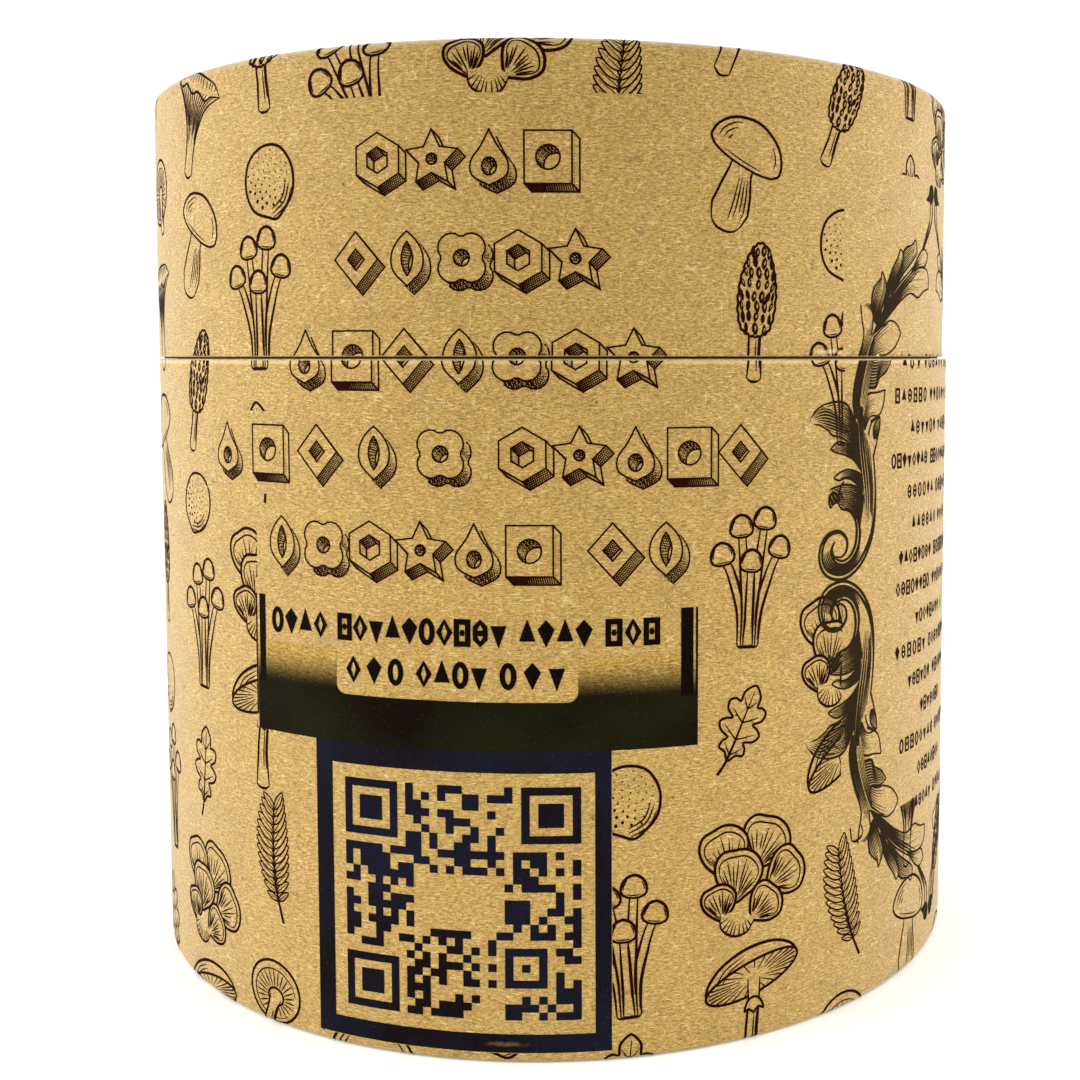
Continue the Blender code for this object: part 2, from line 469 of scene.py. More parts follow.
def turnedTubeTree():
    # turns an outline round the axis: one column more than a full turn, so the lap's edge is a real step
    tree, add, given = newTree(
        "turnedTube", {"Geometry": "Geometry"}, Geometry="Geometry", Object="Outline", Int="Columns",
        Material="Material, Plies", Float="Run start, Plies row, Plies rows, " + surfaceValues
    )
    outline = add("GeometryNodeObjectInfo", (given["Outline"],), "Geometry")
    length = add("GeometryNodeSplineParameter", (), "Length")
    marked = {"Geometry": outline, "Name": "run", "Value": length}
    marked = add("GeometryNodeStoreNamedAttribute", marked, data_type="FLOAT", domain="POINT")
    points = add("GeometryNodeCurveToPoints", (marked,), mode="EVALUATED")
    rows = add("GeometryNodeAttributeDomainSize", (points,), "Point Count", component="POINTCLOUD")
    rowsClosed = add("ShaderNodeMath", (rows, 1.0), operation="ADD")
    columnsClosed = add("ShaderNodeMath", (given["Columns"], 2.0), operation="ADD")
    grid = add("GeometryNodeMeshGrid", {"Vertices X": columnsClosed, "Vertices Y": rowsClosed})
    index = add("GeometryNodeInputIndex")
    column = add("ShaderNodeMath", (index, rowsClosed), operation="DIVIDE")
    column = add("ShaderNodeMath", (column,), operation="FLOOR")
    row = add("ShaderNodeMath", (index, rowsClosed), operation="MODULO")
    row = add("ShaderNodeMath", (row,), operation="ROUND")
    ringRow = add("ShaderNodeMath", (row, rows), operation="MODULO")
    run = add("GeometryNodeInputNamedAttribute", ("run",), data_type="FLOAT")
    run = {"Geometry": points, "Value": run, "Index": ringRow}
    run = add("GeometryNodeSampleIndex", run, data_type="FLOAT")
    around = add("ShaderNodeMapRange", (column, 0.0, given["Columns"], -halfRound, halfRound))
    past = add("ShaderNodeMath", (column, given["Columns"]), operation="GREATER_THAN")
    turned = add("ShaderNodeMath", (past, -2 * halfRound, around), operation="MULTIPLY_ADD")
    faceRow = add("ShaderNodeMath", (index, rows), operation="MODULO")
    plies = add("ShaderNodeMath", (faceRow, given["Plies row"], given["Plies rows"]), operation="COMPARE")
    grid = {"Geometry": grid, "Name": "plies", "Value": plies}
    grid = add("GeometryNodeStoreNamedAttribute", grid, data_type="BOOLEAN", domain="FACE")
    placed = onPaper(add, given, grid, outline, run, turned)

    total = add("GeometryNodeCurveLength", (outline,))
    lastRow = add("ShaderNodeMath", (row, rows, 0.5), operation="COMPARE")
    level = add("ShaderNodeMath", (lastRow, total, run), operation="MULTIPLY_ADD")
    level = add("ShaderNodeMath", (level, given["Run start"]), operation="SUBTRACT")
    mapped = storeSheet(add, placed, add("ShaderNodeCombineXYZ", (around, level)))
    closed = {"Geometry": mapped, "Distance": turning["mergeMm"] * mm}
    closed = add("GeometryNodeMergeByDistance", closed)
    edge = add("GeometryNodeInputMeshEdgeAngle", (), "Unsigned Angle")
    soft = add("ShaderNodeMath", (edge, math.radians(turning["creaseDeg"])), operation="LESS_THAN")
    shaded = add("GeometryNodeSetShadeSmooth", (closed,), domain="FACE")
    shaded = add("GeometryNodeSetShadeSmooth", {"Geometry": shaded, "Shade Smooth": soft}, domain="EDGE")
    # the rows of cut plies in the seam's groove take the second material, a darkened board that paints the
    # groove's shade
    plies = add("GeometryNodeInputNamedAttribute", ("plies",), data_type="BOOLEAN")
    endTree(add, shaded, (True, given["Material"]), (plies, given["Plies"]))
    return tree


turnedTube = turnedTubeTree()


def bakeMap(piece, margin=0.004):
    # the unrolled sheet again, scaled to fill one square, as a map for baking the finish on
    mesh = piece.data
    places = numpy.empty(2 * len(mesh.loops), dtype=numpy.float32)
    mesh.attributes[kraftLook["uvMap"]].data.foreach_get("vector", places)
    places = places.reshape(-1, 2)
    low, high = places.min(axis=0), places.max(axis=0)
    fitted = margin + (1 - 2 * margin) * (places - low) / (high - low)
    mesh.uv_layers.new(name="OFBake").uv.foreach_set("vector", fitted.ravel())


def buildWall(wall, outline, centre, pliesRow):
    # what comes back is what the print on this wall is given too
    guide, start = outlineGuide(wall + "Outline", outline)
    shared = {"Outline": guide, "Run start": start, "Centre": centre, **turning}
    piece = newPiece(f"{wall}_wall_printed")
    values = {"Material": kraftPrinted, "Plies": pliesPaintedShade, "Plies row": pliesRow, **shared}
    growMesh(piece, turnedTube, values)
    bakeMap(piece)
    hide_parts(f"{wall}_tube")
    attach(piece, "root")
    print("wall", piece.name, len(piece.data.polygons), "faces")
    return shared


outline = baseOutline(baseTube)
baseShared = buildWall("base", outline, 0.0, len(outline) - 2)
lidShared = buildWall("lid", lidOutline(lidTube), lidCentre, 1)

for node in ("base_disc", "base_neck", "lid_disc"):
    frame["nodes"][node].data.materials.clear()
    frame["nodes"][node].data.materials.append(kraftPlain)


# drawing on the unrolled sheet: a drawing is a list of outlines, each of ink or of bare paper

hand = random.Random(11)       # the small unevenness of drawn strokes
touchMm = 1e-4                 # points nearer than this are one


def drawn(draw, *values):
    drawing = []
    draw(drawing, *values)
    return drawing


def through(points, step=0.6, closed=False):
    # a smooth line through the points
    count = len(points)
    line = []
    for i in range(count if closed else count - 1):
        near = [i + k if closed else min(max(i + k, 0), count - 1) for k in (-1, 0, 1, 2)]
        near = [points[k % count] for k in near]
        parts = max(1, round(math.dist(near[1], near[2]) / step))
        for t in (k / parts for k in range(parts)):
            shares = (
                (-t + 2 * t ** 2 - t ** 3) / 2, (2 - 5 * t ** 2 + 3 * t ** 3) / 2,
                (t + 4 * t ** 2 - 3 * t ** 3) / 2, (t ** 3 - t ** 2) / 2
            )
            line.append(
                tuple(sum(share * point[axis] for share, point in zip(shares, near)) for axis in (0, 1))
            )
    return line if closed else line + [tuple(points[-1])]


def between(a, b, share):
    return tuple(p + (q - p) * share for p, q in zip(a, b))


def edges(outline):
    return zip(outline, outline[1:] + outline[:1])


def at(line, t):
    place = t * (len(line) - 1)
    i = min(int(place), len(line) - 2)
    return between(line[i], line[i + 1], place - i)


def span(line, start, end, parts=10):
    return [at(line, start + (end - start) * i / parts) for i in range(parts + 1)]


def moved(points, place=(0.0, 0.0), scale=(1.0, 1.0), turn=0.0):
    c, s = math.cos(math.radians(turn)), math.sin(math.radians(turn))
    scaled = [(u * scale[0], v * scale[1]) for u, v in points]
    return [(place[0] + u * c - v * s, place[1] + u * s + v * c) for u, v in scaled]


def ellipse(place, halfWidth, halfHeight, turn=0.0, parts=28):
    ring = [(math.cos(2 * math.pi * i / parts), math.sin(2 * math.pi * i / parts)) for i in range(parts)]
    return moved(ring, place, (halfWidth, halfHeight), turn)


def blot(drawing, outline):
    drawing.append((True, list(outline)))


def bare(drawing, outline):
    drawing.append((False, list(outline)))


def banks(line, widths, closed=False):
    # the two sides of a band along a line, whose widths are spread evenly along it
    count = len(line)
    left, right = [], []
    for i, (u, v) in enumerate(line):
        back = line[i - 1] if closed or i else line[0]
        ahead = line[(i + 1) % count] if closed or i < count - 1 else line[-1]
        du, dv = ahead[0] - back[0], ahead[1] - back[1]
        size = math.hypot(du, dv) or 1.0
        place = i / (count - 1) * (len(widths) - 1)
        k = min(int(place), len(widths) - 2)
        half = (widths[k] + (widths[k + 1] - widths[k]) * (place - k)) / 2
        left.append((u - dv / size * half, v + du / size * half))
        right.append((u + dv / size * half, v - du / size * half))
    return left, right


def pen(drawing, line, widths, closed=False, mark=blot):
    # one stroke; a single width stands for a stroke that thins out at both ends
    if isinstance(widths, float):
        widths = (widths, widths) if closed else (0.45 * widths, widths, 0.95 * widths, 0.4 * widths)
    left, right = banks(line, widths, closed)
    for i in range(len(line) if closed else len(line) - 1):
        k = (i + 1) % len(line)
        mark(drawing, (right[i], right[k], left[k]))
        mark(drawing, (right[i], left[k], left[i]))


def stroke(drawing, points, step, widths):
    pen(drawing, through(points, step), widths)


def hatch(drawing, first, second, count, reach, width, start=0.0, end=1.0):
    # strokes from one line towards another, each stopping short by chance
    for i in range(count):
        t = start + (end - start) * (i + 0.3 + 0.4 * hand.random()) / count
        a, b = at(first, t), at(second, t)
        stop = reach[1] * (0.72 + 0.28 * hand.random())
        line = [between(a, b, reach[0] + (stop - reach[0]) * k / 3) for k in range(4)]
        pen(drawing, line, (width, 0.8 * width, 0.3 * width))


def grain(drawing, first, second, count, reach, width, mark=blot):
    # strokes that run along between two lines, from their start
    for i in range(count):
        share = (i + 0.5) / count
        stop = reach[0] + (reach[1] - reach[0]) * hand.random()
        line = [between(at(first, stop * k / 8), at(second, stop * k / 8), share) for k in range(9)]
        pen(drawing, line, (width, 0.8 * width, 0.5 * width, 0.15 * width), mark=mark)


def flatten(drawing, smallest=2e-6):
    # all outlines cut the sheet into triangles, and each takes what was drawn last over its middle
    points, sides = [], []
    for _, outline in drawing:
        first, count = len(points), len(outline)
        points += [Vector(point) for point in outline]
        sides += [(first + i, first + (i + 1) % count) for i in range(count)]
    cut = delaunay_2d_cdt(points, sides, [], 0, touchMm, False)
    flat = numpy.array([tuple(point) for point in cut[0]])
    triangles = numpy.array([tuple(triangle) for triangle in cut[2]])
    a, b, c = (flat[triangles[:, i]] for i in range(3))
    area = (b[:, 0] - a[:, 0]) * (c[:, 1] - a[:, 1]) - (b[:, 1] - a[:, 1]) * (c[:, 0] - a[:, 0])
    triangles[area < 0] = triangles[area < 0][:, ::-1]
    triangles = triangles[abs(area) > smallest]
    middles = flat[triangles].mean(axis=1)
    order = numpy.argsort(middles[:, 0])
    across = middles[order, 0]
    inked = numpy.zeros(len(triangles), dtype=bool)
    for ink, outline in drawing:
        a = numpy.array(outline)
        b = numpy.roll(a, -1, axis=0)
        (left, low), (right, high) = a.min(axis=0), a.max(axis=0)
        near = order[numpy.searchsorted(across, left):numpy.searchsorted(across, right)]
        near = near[(middles[near, 1] > low) & (middles[near, 1] < high)]
        u, v = middles[near, 0, None], middles[near, 1, None]
        side = (b[:, 0] - a[:, 0]) * (v - a[:, 1]) - (b[:, 1] - a[:, 1]) * (u - a[:, 0])
        rises = (a[:, 1] <= v) & (b[:, 1] > v) & (side > 0)
        falls = (a[:, 1] > v) & (b[:, 1] <= v) & (side < 0)
        inked[near[rises.sum(axis=1) != falls.sum(axis=1)]] = ink
    return simplified(flat, triangles[inked])


def simplified(points, triangles, bend=0.03):
    # edges inside the ink are dropped, and points on edges that bend by less than this angle
    shape = bmesh.new()
    corners = [shape.verts.new((u, v, 0.0)) for u, v in points.tolist()]
    for triangle in triangles.tolist():
        shape.faces.new([corners[i] for i in triangle])
    shape.normal_update()
    bmesh.ops.dissolve_limit(shape, angle_limit=bend, verts=shape.verts, edges=shape.edges)
    loose = [corner for corner in shape.verts if not corner.link_faces]
    bmesh.ops.delete(shape, geom=loose, context="VERTS")
    bmesh.ops.triangulate(shape, faces=shape.faces)
    shape.verts.index_update()
    points = numpy.array([tuple(corner.co.xy) for corner in shape.verts])
    triangles = numpy.array([tuple(corner.index for corner in face.verts) for face in shape.faces])
    shape.free()
    return points, triangles


def joined(first, second):
    triangles = numpy.concatenate([first[1], second[1] + len(first[0])])
    return numpy.concatenate([first[0], second[0]]), triangles


def mirrored(art, axis, level):
    # the same art on the other side of an upright line (axis 0) or a level one (axis 1)
    points, triangles = art[0].copy(), art[1][:, ::-1]
    points[:, axis] = 2 * level - points[:, axis]
    return points, triangles


def cutLine(art, axis, level, low=-1e6, high=1e6):
    # splits the triangles that cross a line, between low and high along it
    points, triangles = art
    below = (points[:, axis] < level - touchMm)[triangles].any(axis=1)
    above = (points[:, axis] > level + touchMm)[triangles].any(axis=1)
    crossing = numpy.flatnonzero(below & above)
    along = points[:, 1 - axis][triangles[crossing]]
    crossing = crossing[(along.max(axis=1) > low) & (along.min(axis=1) < high)]
    if not len(crossing):
        return art
    away = points[:, axis][triangles[crossing]] - level
    added, made, met = [], [], {}
    for triangle, sides in zip(triangles[crossing].tolist(), away.tolist()):
        halves = ([], [])
        for k in range(3):
            i, j, x, y = triangle[k], triangle[(k + 1) % 3], sides[k], sides[(k + 1) % 3]
            for half, here in zip(halves, (x <= touchMm, x >= -touchMm)):
                if here:
                    half.append(i)
            if (x > touchMm and y < -touchMm) or (x < -touchMm and y > touchMm):
                edge = (min(i, j), max(i, j))
                if edge not in met:
                    met[edge] = len(points) + len(added)
                    added.append(points[i] + (points[j] - points[i]) * x / (x - y))
                for half in halves:
                    half.append(met[edge])
        for half in halves:
            made += [(half[0], half[k], half[k + 1]) for k in range(1, len(half) - 1)]
    whole = numpy.delete(triangles, crossing, axis=0)
    return numpy.concatenate([points, added]) if added else points, numpy.concatenate([whole, made])


def kept(art, test):
    # the triangles whose middles pass a test on their u and v, and the points that they use
    points, triangles = art
    middles = points[triangles].mean(axis=1)
    triangles = triangles[test(middles[:, 0], middles[:, 1])]
    used, order = numpy.unique(triangles, return_inverse=True)
    return points[used], order.reshape(-1, 3)


def withoutWindows(art, windows):
    # windows are left, right, low and high edges in which nothing of the art is printed
    for left, right, low, high in windows:
        for axis, levels, reach in ((0, (left, right), (low, high)), (1, (low, high), (left, right))):
            for level in levels:
                art = cutLine(art, axis, level, *reach)
        art = kept(art, lambda u, v: (u < left) | (u > right) | (v < low) | (v > high))
    return art


def flatMesh(name, art):
    mesh = bpy.data.meshes.new(name)
    mesh.from_pydata([(u, v, 0.0) for u, v in art[0].tolist()], [], art[1].tolist())
    return mesh


# the inks

inkLook = {
    "finish": {"Roughness": 0.72, "IOR": 1.47, "Specular IOR Level": 0.03},
    "thin": (0.6, 0.9, 0.2),         # noise from and to, and how much less the ink covers there
    "cast": (0.38, 0.62),
    "screen": (1.6, 0.8),            # how raggedly a fade ends, in mm, and half of that
    "relief": 0.6,                   # share of the paper's relief that is left
}


def flexoInk(name, inkHex, cover, castHex=None, fadeMm=None):
    # water-based ink sunk into kraft: matt, darker than the paper's fibres but thin over the longest ones
    material, add = newMaterial(name)
    paper = add("ShaderNodeGroup", node_tree=kraftGroup).node.outputs
    sheet = add("ShaderNodeUVMap", uv_map=kraftLook["uvMap"])
    thin = add(
        "ShaderNodeTexNoise", {"Vector": sheet, "Scale": 2.2, "Detail": 3.0, "Roughness": 0.7}, "Fac"
    )
    low, high, lost = inkLook["thin"]
    amount = add("ShaderNodeMapRange", (thin, low, high, cover, cover - lost))
    # the ink is thinner where the paper is rubbed and under the painted glint above the seam
    left = add("ShaderNodeMath", (1.0, paper["Worn"]), operation="SUBTRACT")
    amount = add("ShaderNodeMath", (amount, left), operation="MULTIPLY")
    if fadeMm:
        # the fade is broken up by the grain, as a coarse screen is
        ragged, half = inkLook["screen"]
        level = add("ShaderNodeSeparateXYZ", (sheet,)).node.outputs[1]
        screen = add("ShaderNodeTexNoise", {"Vector": sheet, "Scale": 3.5, "Detail": 1.0}, "Fac")
        level = add("ShaderNodeMath", (screen, ragged, level), operation="MULTIPLY_ADD")
        fade = (level, fadeMm[0] + half, fadeMm[1] + half, 0.0, 1.0)
        fade = add("ShaderNodeMapRange", fade, interpolation_type="SMOOTHSTEP")
        amount = add("ShaderNodeMath", (amount, fade), operation="MULTIPLY")
    ink = linear(inkHex)
    if castHex:
        patches = add("ShaderNodeTexNoise", {"Vector": sheet, "Scale": 0.045, "Detail": 2.0}, "Fac")
        patches = add("ShaderNodeMapRange", (patches, *inkLook["cast"]))
        ink = add("ShaderNodeMix", {0: patches, 6: ink, 7: linear(castHex)}, 2, data_type="RGBA")
    colour = add("ShaderNodeMix", {0: amount, 6: paper["Colour"], 7: ink}, 2, data_type="RGBA")
    endMaterial(add, colour, inkLook["finish"], paper["Height"], inkLook["relief"] * kraftLook["reliefMm"])
    return material


lineInk = flexoInk("maroonBlackLineInk", "#1E0402", 1.0)
blockInk = flexoInk("maroonBlackBlockInk", "#1F0602", 1.0)
boldInk = flexoInk("blackSolidInk", "#0C0402", 1.0)
panelInk = flexoInk("oliveBlackPanelInk", "#181806", 1.0, "#0E0804", (62.6, 56.4))
frameInk = flexoInk("blueBlackFrameInk", "#131422", 1.0, "#100A0B")
scrollInk = flexoInk("greenBlackScrollInk", "#1B1006", 0.98)


# laying the print on the tube

sheets = {
    # ink stops short of the cut edges at the seam and runs over both rims
    "base": (-0.6, seam - 0.4, {"Shift": 0.0, **baseShared}),
    "lid": (seam + 0.34, topEdge + 2.2, {"Shift": 0.5, **lidShared}),
}
rimCutsMm = (1.0, 0.6, 0.2, -0.2, *(topEdge + up for up in (-1.8, -1.35, -0.9, -0.45, 0.0, 0.45, 1.0)))
stepMm = (2.4, 6.0)            # wide and tall fills are cut up at these steps, so they follow the tube


def wrapPrintTree():
    # a flat print moves point by point to the surface of the rolled paper
    tree, add, given = newTree(
        "wrapPrint", {"Geometry": "Geometry"}, Geometry="Geometry", Object="Outline", Material="Material",
        Float="Run start, Proud, Shift, " + surfaceValues
    )
    outline = add("GeometryNodeObjectInfo", (given["Outline"],), "Geometry")
    flat = add("GeometryNodeInputPosition")
    shift = add("ShaderNodeCombineXYZ", (given["Shift"],))
    place = add("ShaderNodeVectorMath", (flat, shift), operation="ADD")
    mapped = storeSheet(add, given["Geometry"], place)
    at = add("ShaderNodeSeparateXYZ", (place,)).node.outputs
    run = add("ShaderNodeMath", (at[1], given["Run start"]), operation="ADD")
    wrapped = onPaper(add, given, mapped, outline, run, at[0], given["Proud"])
    smooth = add("GeometryNodeSetShadeSmooth", (wrapped,), domain="FACE")
    endTree(add, smooth, (True, given["Material"]))
    return tree


wrapPrint = wrapPrintTree()


def bendable(art):
    for axis, step in enumerate(stepMm):
        low, high = art[0][:, axis].min(), art[0][:, axis].max()
        for i in range(1, math.ceil((high - low) / step)):
            art = cutLine(art, axis, low + i * step)
    return art


def printOn(name, art, ink, proudMm):
    for wall, (low, high, shared) in sheets.items():
        part = cutLine(cutLine(art, 1, low), 1, high)
        part = kept(part, lambda u, v: (v > low) & (v < high) & (abs(u) < halfRound))
        if not len(part[1]):
            continue
        part = bendable(part)
        for level in rimCutsMm:
            part = cutLine(part, 1, level)
        piece = newPiece(f"{name}_{wall}", flatMesh(name, part))
        growMesh(piece, wrapPrint, {"Proud": proudMm, "Material": ink, **shared})
        bakeMap(piece)
        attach(piece, "root")
        print("print", piece.name, len(piece.data.polygons), "faces")


# the fungi of the repeating print, in mm about their middle

lineMm = 0.48


def trace(drawing, line, widths=1.0, closed=False):
    # a stroke whose widths are shares of the usual line
    widths = widths * lineMm if isinstance(widths, float) else [w * lineMm for w in widths]
    pen(drawing, line, widths, closed)


def filled(drawing, line, width=1.0, turned=False):
    # a closed line with bare paper inside
    bare(drawing, line[::-1] if turned else line)
    trace(drawing, line, width, True)


def stalk(drawing, spine, widths, strokes):
    line = through(spine, 0.8)
    left, right = banks(line, widths)
    bare(drawing, left + right[::-1])
    trace(drawing, left)
    trace(drawing, right)
    wide = math.dist(left[0], right[0]) / 2
    turn = math.degrees(math.atan2(right[0][1] - left[0][1], right[0][0] - left[0][0]))
    sole = [(-1, 0), (-0.6, -0.42), (0, -0.55), (0.6, -0.42), (1, 0)]
    trace(drawing, through(moved(sole, line[0], (wide, wide * 0.8), turn), 0.5))
    for i in range(strokes):
        share = 0.13 + 0.45 * i / strokes
        begin, stop = 0.06 + 0.2 * hand.random(), 0.45 + 0.45 * hand.random()
        inner = [between(a, b, share) for a, b in zip(right, left)]
        trace(drawing, span(inner, begin, stop), 0.6)


def dome(drawing, place, halfWidth, height, droop, turn, strokes):
    # a cap seen from a little above, and the underside of its edge
    def cap(points, wide=1.0, tall=1.0, step=0.6):
        return through(moved(points, place, (halfWidth * wide, height * tall), turn), step)

    half = [(-1, 0), (-0.94, 0.36), (-0.62, 0.78), (0, 1), (0.62, 0.78), (0.94, 0.36), (1, 0)]
    over = cap(half, step=0.7)
    half = [(1, 0), (0.84, -0.55), (0.45, -0.92), (0, -1), (-0.45, -0.92), (-0.84, -0.55), (-1, 0)]
    under = cap(half, 1.0, droop, 0.7)
    bare(drawing, (over + under[1:-1])[::-1])
    trace(drawing, over, (1.0, 1.15, 1.0))
    trace(drawing, under, (1.0, 0.8, 1.0))
    fold = [(-0.94, 0.1), (-0.9, 0.4), (-0.6, 0.8), (-0.2, 0.97)]
    for i in range(strokes):
        shrink = 0.86 - 0.13 * i
        trace(drawing, span(cap(fold, shrink, shrink), 0.05 * i, 0.75 - 0.2 * i), 0.6)
    trace(drawing, cap([(0.92, 0.1), (0.88, 0.4), (0.66, 0.72)], 0.86, 0.86), 0.55)
    trace(drawing, cap([(0.5, -0.55), (0, -0.62), (-0.55, -0.5)], 1.0, droop), 0.5)


def gilled(drawing, place, halfWidth, height, lift, turn, gills=26):
    # a cap seen from below: the dome, then the round of gills under it
    half = [(-1, 0), (-0.9, 0.4), (-0.55, 0.82), (0, 1), (0.55, 0.82), (0.9, 0.4), (1, 0)]
    over = through(moved(half, place, (halfWidth, height), turn), 0.7)
    rim = ellipse(place, halfWidth, halfWidth * lift, turn, 40)
    bare(drawing, over[::-1])
    trace(drawing, over, (1.0, 1.2, 1.0))
    filled(drawing, rim)
    hub = ellipse(place, halfWidth * 0.26, halfWidth * 0.26 * lift, turn, 40)
    for i in range(gills):
        t = (i + 0.25 * hand.random()) / gills
        long = 0.86 if i % 2 else 0.62
        a, b = at(rim + rim[:1], t), at(hub + hub[:1], t)
        gill = [between(a, b, 0.06 + long * k / 3) for k in range(4)]
        trace(drawing, gill, (0.6, 0.45, 0.25))
    for shrink in (0.88, 0.74):
        scale = (halfWidth * shrink, height * shrink)
        fold = moved([(-0.86, 0.34), (-0.56, 0.76), (-0.1, 0.94)], place, scale, turn)
        trace(drawing, through(fold), 0.55)


def fan(drawing, place, halfWidth, height, turn, strokes=13):
    # one bracket of a cluster that grows on wood, seen from below with its rolled rim
    shell = [
        (0, 0), (-0.4, 0.14), (-0.86, 0.42), (-1, 0.72), (-0.78, 0.95), (-0.3, 1.02), (0.2, 1.05),
        (0.7, 0.93), (1, 0.66), (0.8, 0.34), (0.36, 0.12)
    ]
    inner = [
        (-0.12, 0.12), (-0.7, 0.46), (-0.82, 0.7), (-0.62, 0.84), (-0.25, 0.89), (0.18, 0.92), (0.58, 0.82),
        (0.83, 0.62), (0.64, 0.38), (0.12, 0.12)
    ]
    inner = through(moved(inner, place, (halfWidth, height), turn))
    filled(drawing, through(moved(shell, place, (halfWidth, height), turn), 0.6, True), 1.15)
    trace(drawing, span(inner, 0.12, 0.9, 30), 0.7)
    root = moved([(-0.1, 0.06), (0.1, 0.06)], place, (halfWidth, height), turn)
    for i in range(strokes):
        t = 0.1 + 0.8 * (i + 0.5 * hand.random()) / strokes
        a, b = at(root, t), at(inner, t)
        start, stop = 0.06 + 0.34 * hand.random(), 0.72 + 0.24 * hand.random()
        bow = [between(a, b, start + (stop - start) * k / 4) for k in range(5)]
        trace(drawing, bow, (0.2, 0.7, 0.6, 0.2))


def honeycomb(drawing, place, halfWidth, height):
    # a pitted cap: pale ridges round dark upright pits, which narrow towards the sides
    half = [
        (0, 1), (0.36, 0.9), (0.68, 0.62), (0.9, 0.28), (1, -0.1), (0.96, -0.5), (0.74, -0.84),
        (0.3, -0.98), (0, -1)
    ]
    half = half + [(-u, v) for u, v in half[-2:0:-1]]
    waves = ((u, v, math.sin(i * 1.7)) for i, (u, v) in enumerate(through(half, 0.07, True)))
    edge = [(u * (1 + 0.03 * wave), v * (1 + 0.015 * wave)) for u, v, wave in waves]
    edge = moved(edge, place, (halfWidth, height))
    filled(drawing, edge, 1.0, True)
    pit = [(0, 1), (-0.62, 0.5), (-0.75, -0.2), (-0.35, -0.9), (0.3, -1), (0.72, -0.3), (0.6, 0.45)]
    glint = [(0.2, 0.5), (-0.1, 0.15), (0.0, -0.5), (0.3, -0.1)]
    rows = round(2 * height / 2.05)
    for row in range(rows):
        level = -0.93 + 1.86 * (row + 0.5) / rows
        reach = (1 - abs(level) ** (3.0 if level < 0 else 1.9)) ** 0.5 * 0.97
        count = max(2, round(halfWidth * reach * 1.3)) + row % 2
        for i in range(count):
            angle = -1.2 + 2.4 * (i + 0.5) / count
            u, thin = math.sin(angle) * reach, 0.3 + 0.7 * math.cos(angle)
            size = 0.85 + 0.3 * hand.random()
            shift = (u + 0.08 * (hand.random() - 0.5), level + 0.05 * (hand.random() - 0.5))
            middle = moved([shift], place, (halfWidth, height))[0]
            tilt = -16 * u + 30 * (hand.random() - 0.5)
            blot(drawing, moved(pit, middle, (0.74 * thin * size, 1.02 * size), tilt))
            if thin > 0.62 and hand.random() > 0.35:
                bare(drawing, moved(glint, middle, (0.8 * thin * size, 0.9 * size), tilt))


def drawBolete(d):
    stalk(d, [(0.4, -9.5), (0.2, -5), (-0.2, -1), (-0.3, 3)], (5.4, 7.4, 6.2, 4.6, 4.2), 4)
    dome(d, (-0.3, 3.2), 7.6, 6.2, 0.34, -4, 4)


def drawSlimGroup(d):
    for top, high, lean in (
        (-5.6, 4.5, -13), (5.2, 5.8, 11), (-2.4, 9.2, -6), (2.0, 10.6, 5), (-0.2, 3.4, 2)
    ):
        spine = [(top * 0.2, -10), (top * 0.32, -4), (top * 0.7, high * 0.45), (top, high)]
        stalk(d, spine, (1.9, 1.5, 1.5, 1.3), 1)
        dome(d, (top, high), 2.2, 2.7, 0.42, -lean, 1)


def drawParasol(d):
    gilled(d, (0.8, 4.2), 9.2, 5.2, 0.3, 9)
    stalk(d, [(-1.6, -11), (-0.9, -5), (0.2, 0), (0.8, 4.0)], (3.2, 2.2, 2.0, 2.3), 2)
    skirt = [
        (-1.7, -1.2), (-0.9, 0.4), (0.4, 0.9), (1.5, 0.1), (2.0, -1.6), (1.0, -1.0), (0.0, -1.7),
        (-0.9, -0.9)
    ]
    ring = through(skirt, 0.5, True)
    filled(d, ring, 0.9, True)


def drawFunnel(d):
    left = through([(-1.6, -10), (-1.7, -5), (-2.6, -1), (-5.2, 3.2), (-8.6, 6.2)])
    right = through([(1.6, -10), (1.5, -5), (2.4, -1), (4.6, 2.8), (8.8, 5.4)])
    lip = [(-8.6, 6.2), (-6, 5.2), (-4.2, 6.0), (-1.6, 4.6), (0.8, 5.2), (3.6, 4.0), (5.8, 5.0), (8.8, 5.4)]
    lip = through(lip, 0.5)
    back = through([(-8.6, 6.2), (-5, 8.2), (-1, 8.6), (3, 8.2), (6.6, 7.4), (8.8, 5.4)])
    bare(d, back + lip[::-1][1:-1])
    bare(d, left + lip[1:-1] + right[::-1])
    for line, width in ((left, 1.0), (right, 1.0), (lip, 1.1), (back, 1.0)):
        trace(d, line, width)
    trace(d, through([(-1.6, -10), (0, -10.8), (1.6, -10)], 0.5))
    for i in range(13):
        share = (i + 0.7) / 14
        foot = 0.28 + 0.22 * hand.random()
        steps = [foot + (0.94 - foot) * k / 6 for k in range(7)]
        rib = [between(at(left, t), at(right, t), share) for t in steps]
        trace(d, rib, (0.2, 0.7, 0.7, 0.3))
    hatch(d, back, lip, 14, (0.1, 0.62), 0.6 * lineMm, 0.1, 0.9)


def drawMorel(d):
    stalk(d, [(0.3, -11.5), (0.2, -8), (0, -3)], (2.8, 2.1, 2.4), 2)
    honeycomb(d, (0, 3.2), 3.7, 7.8)


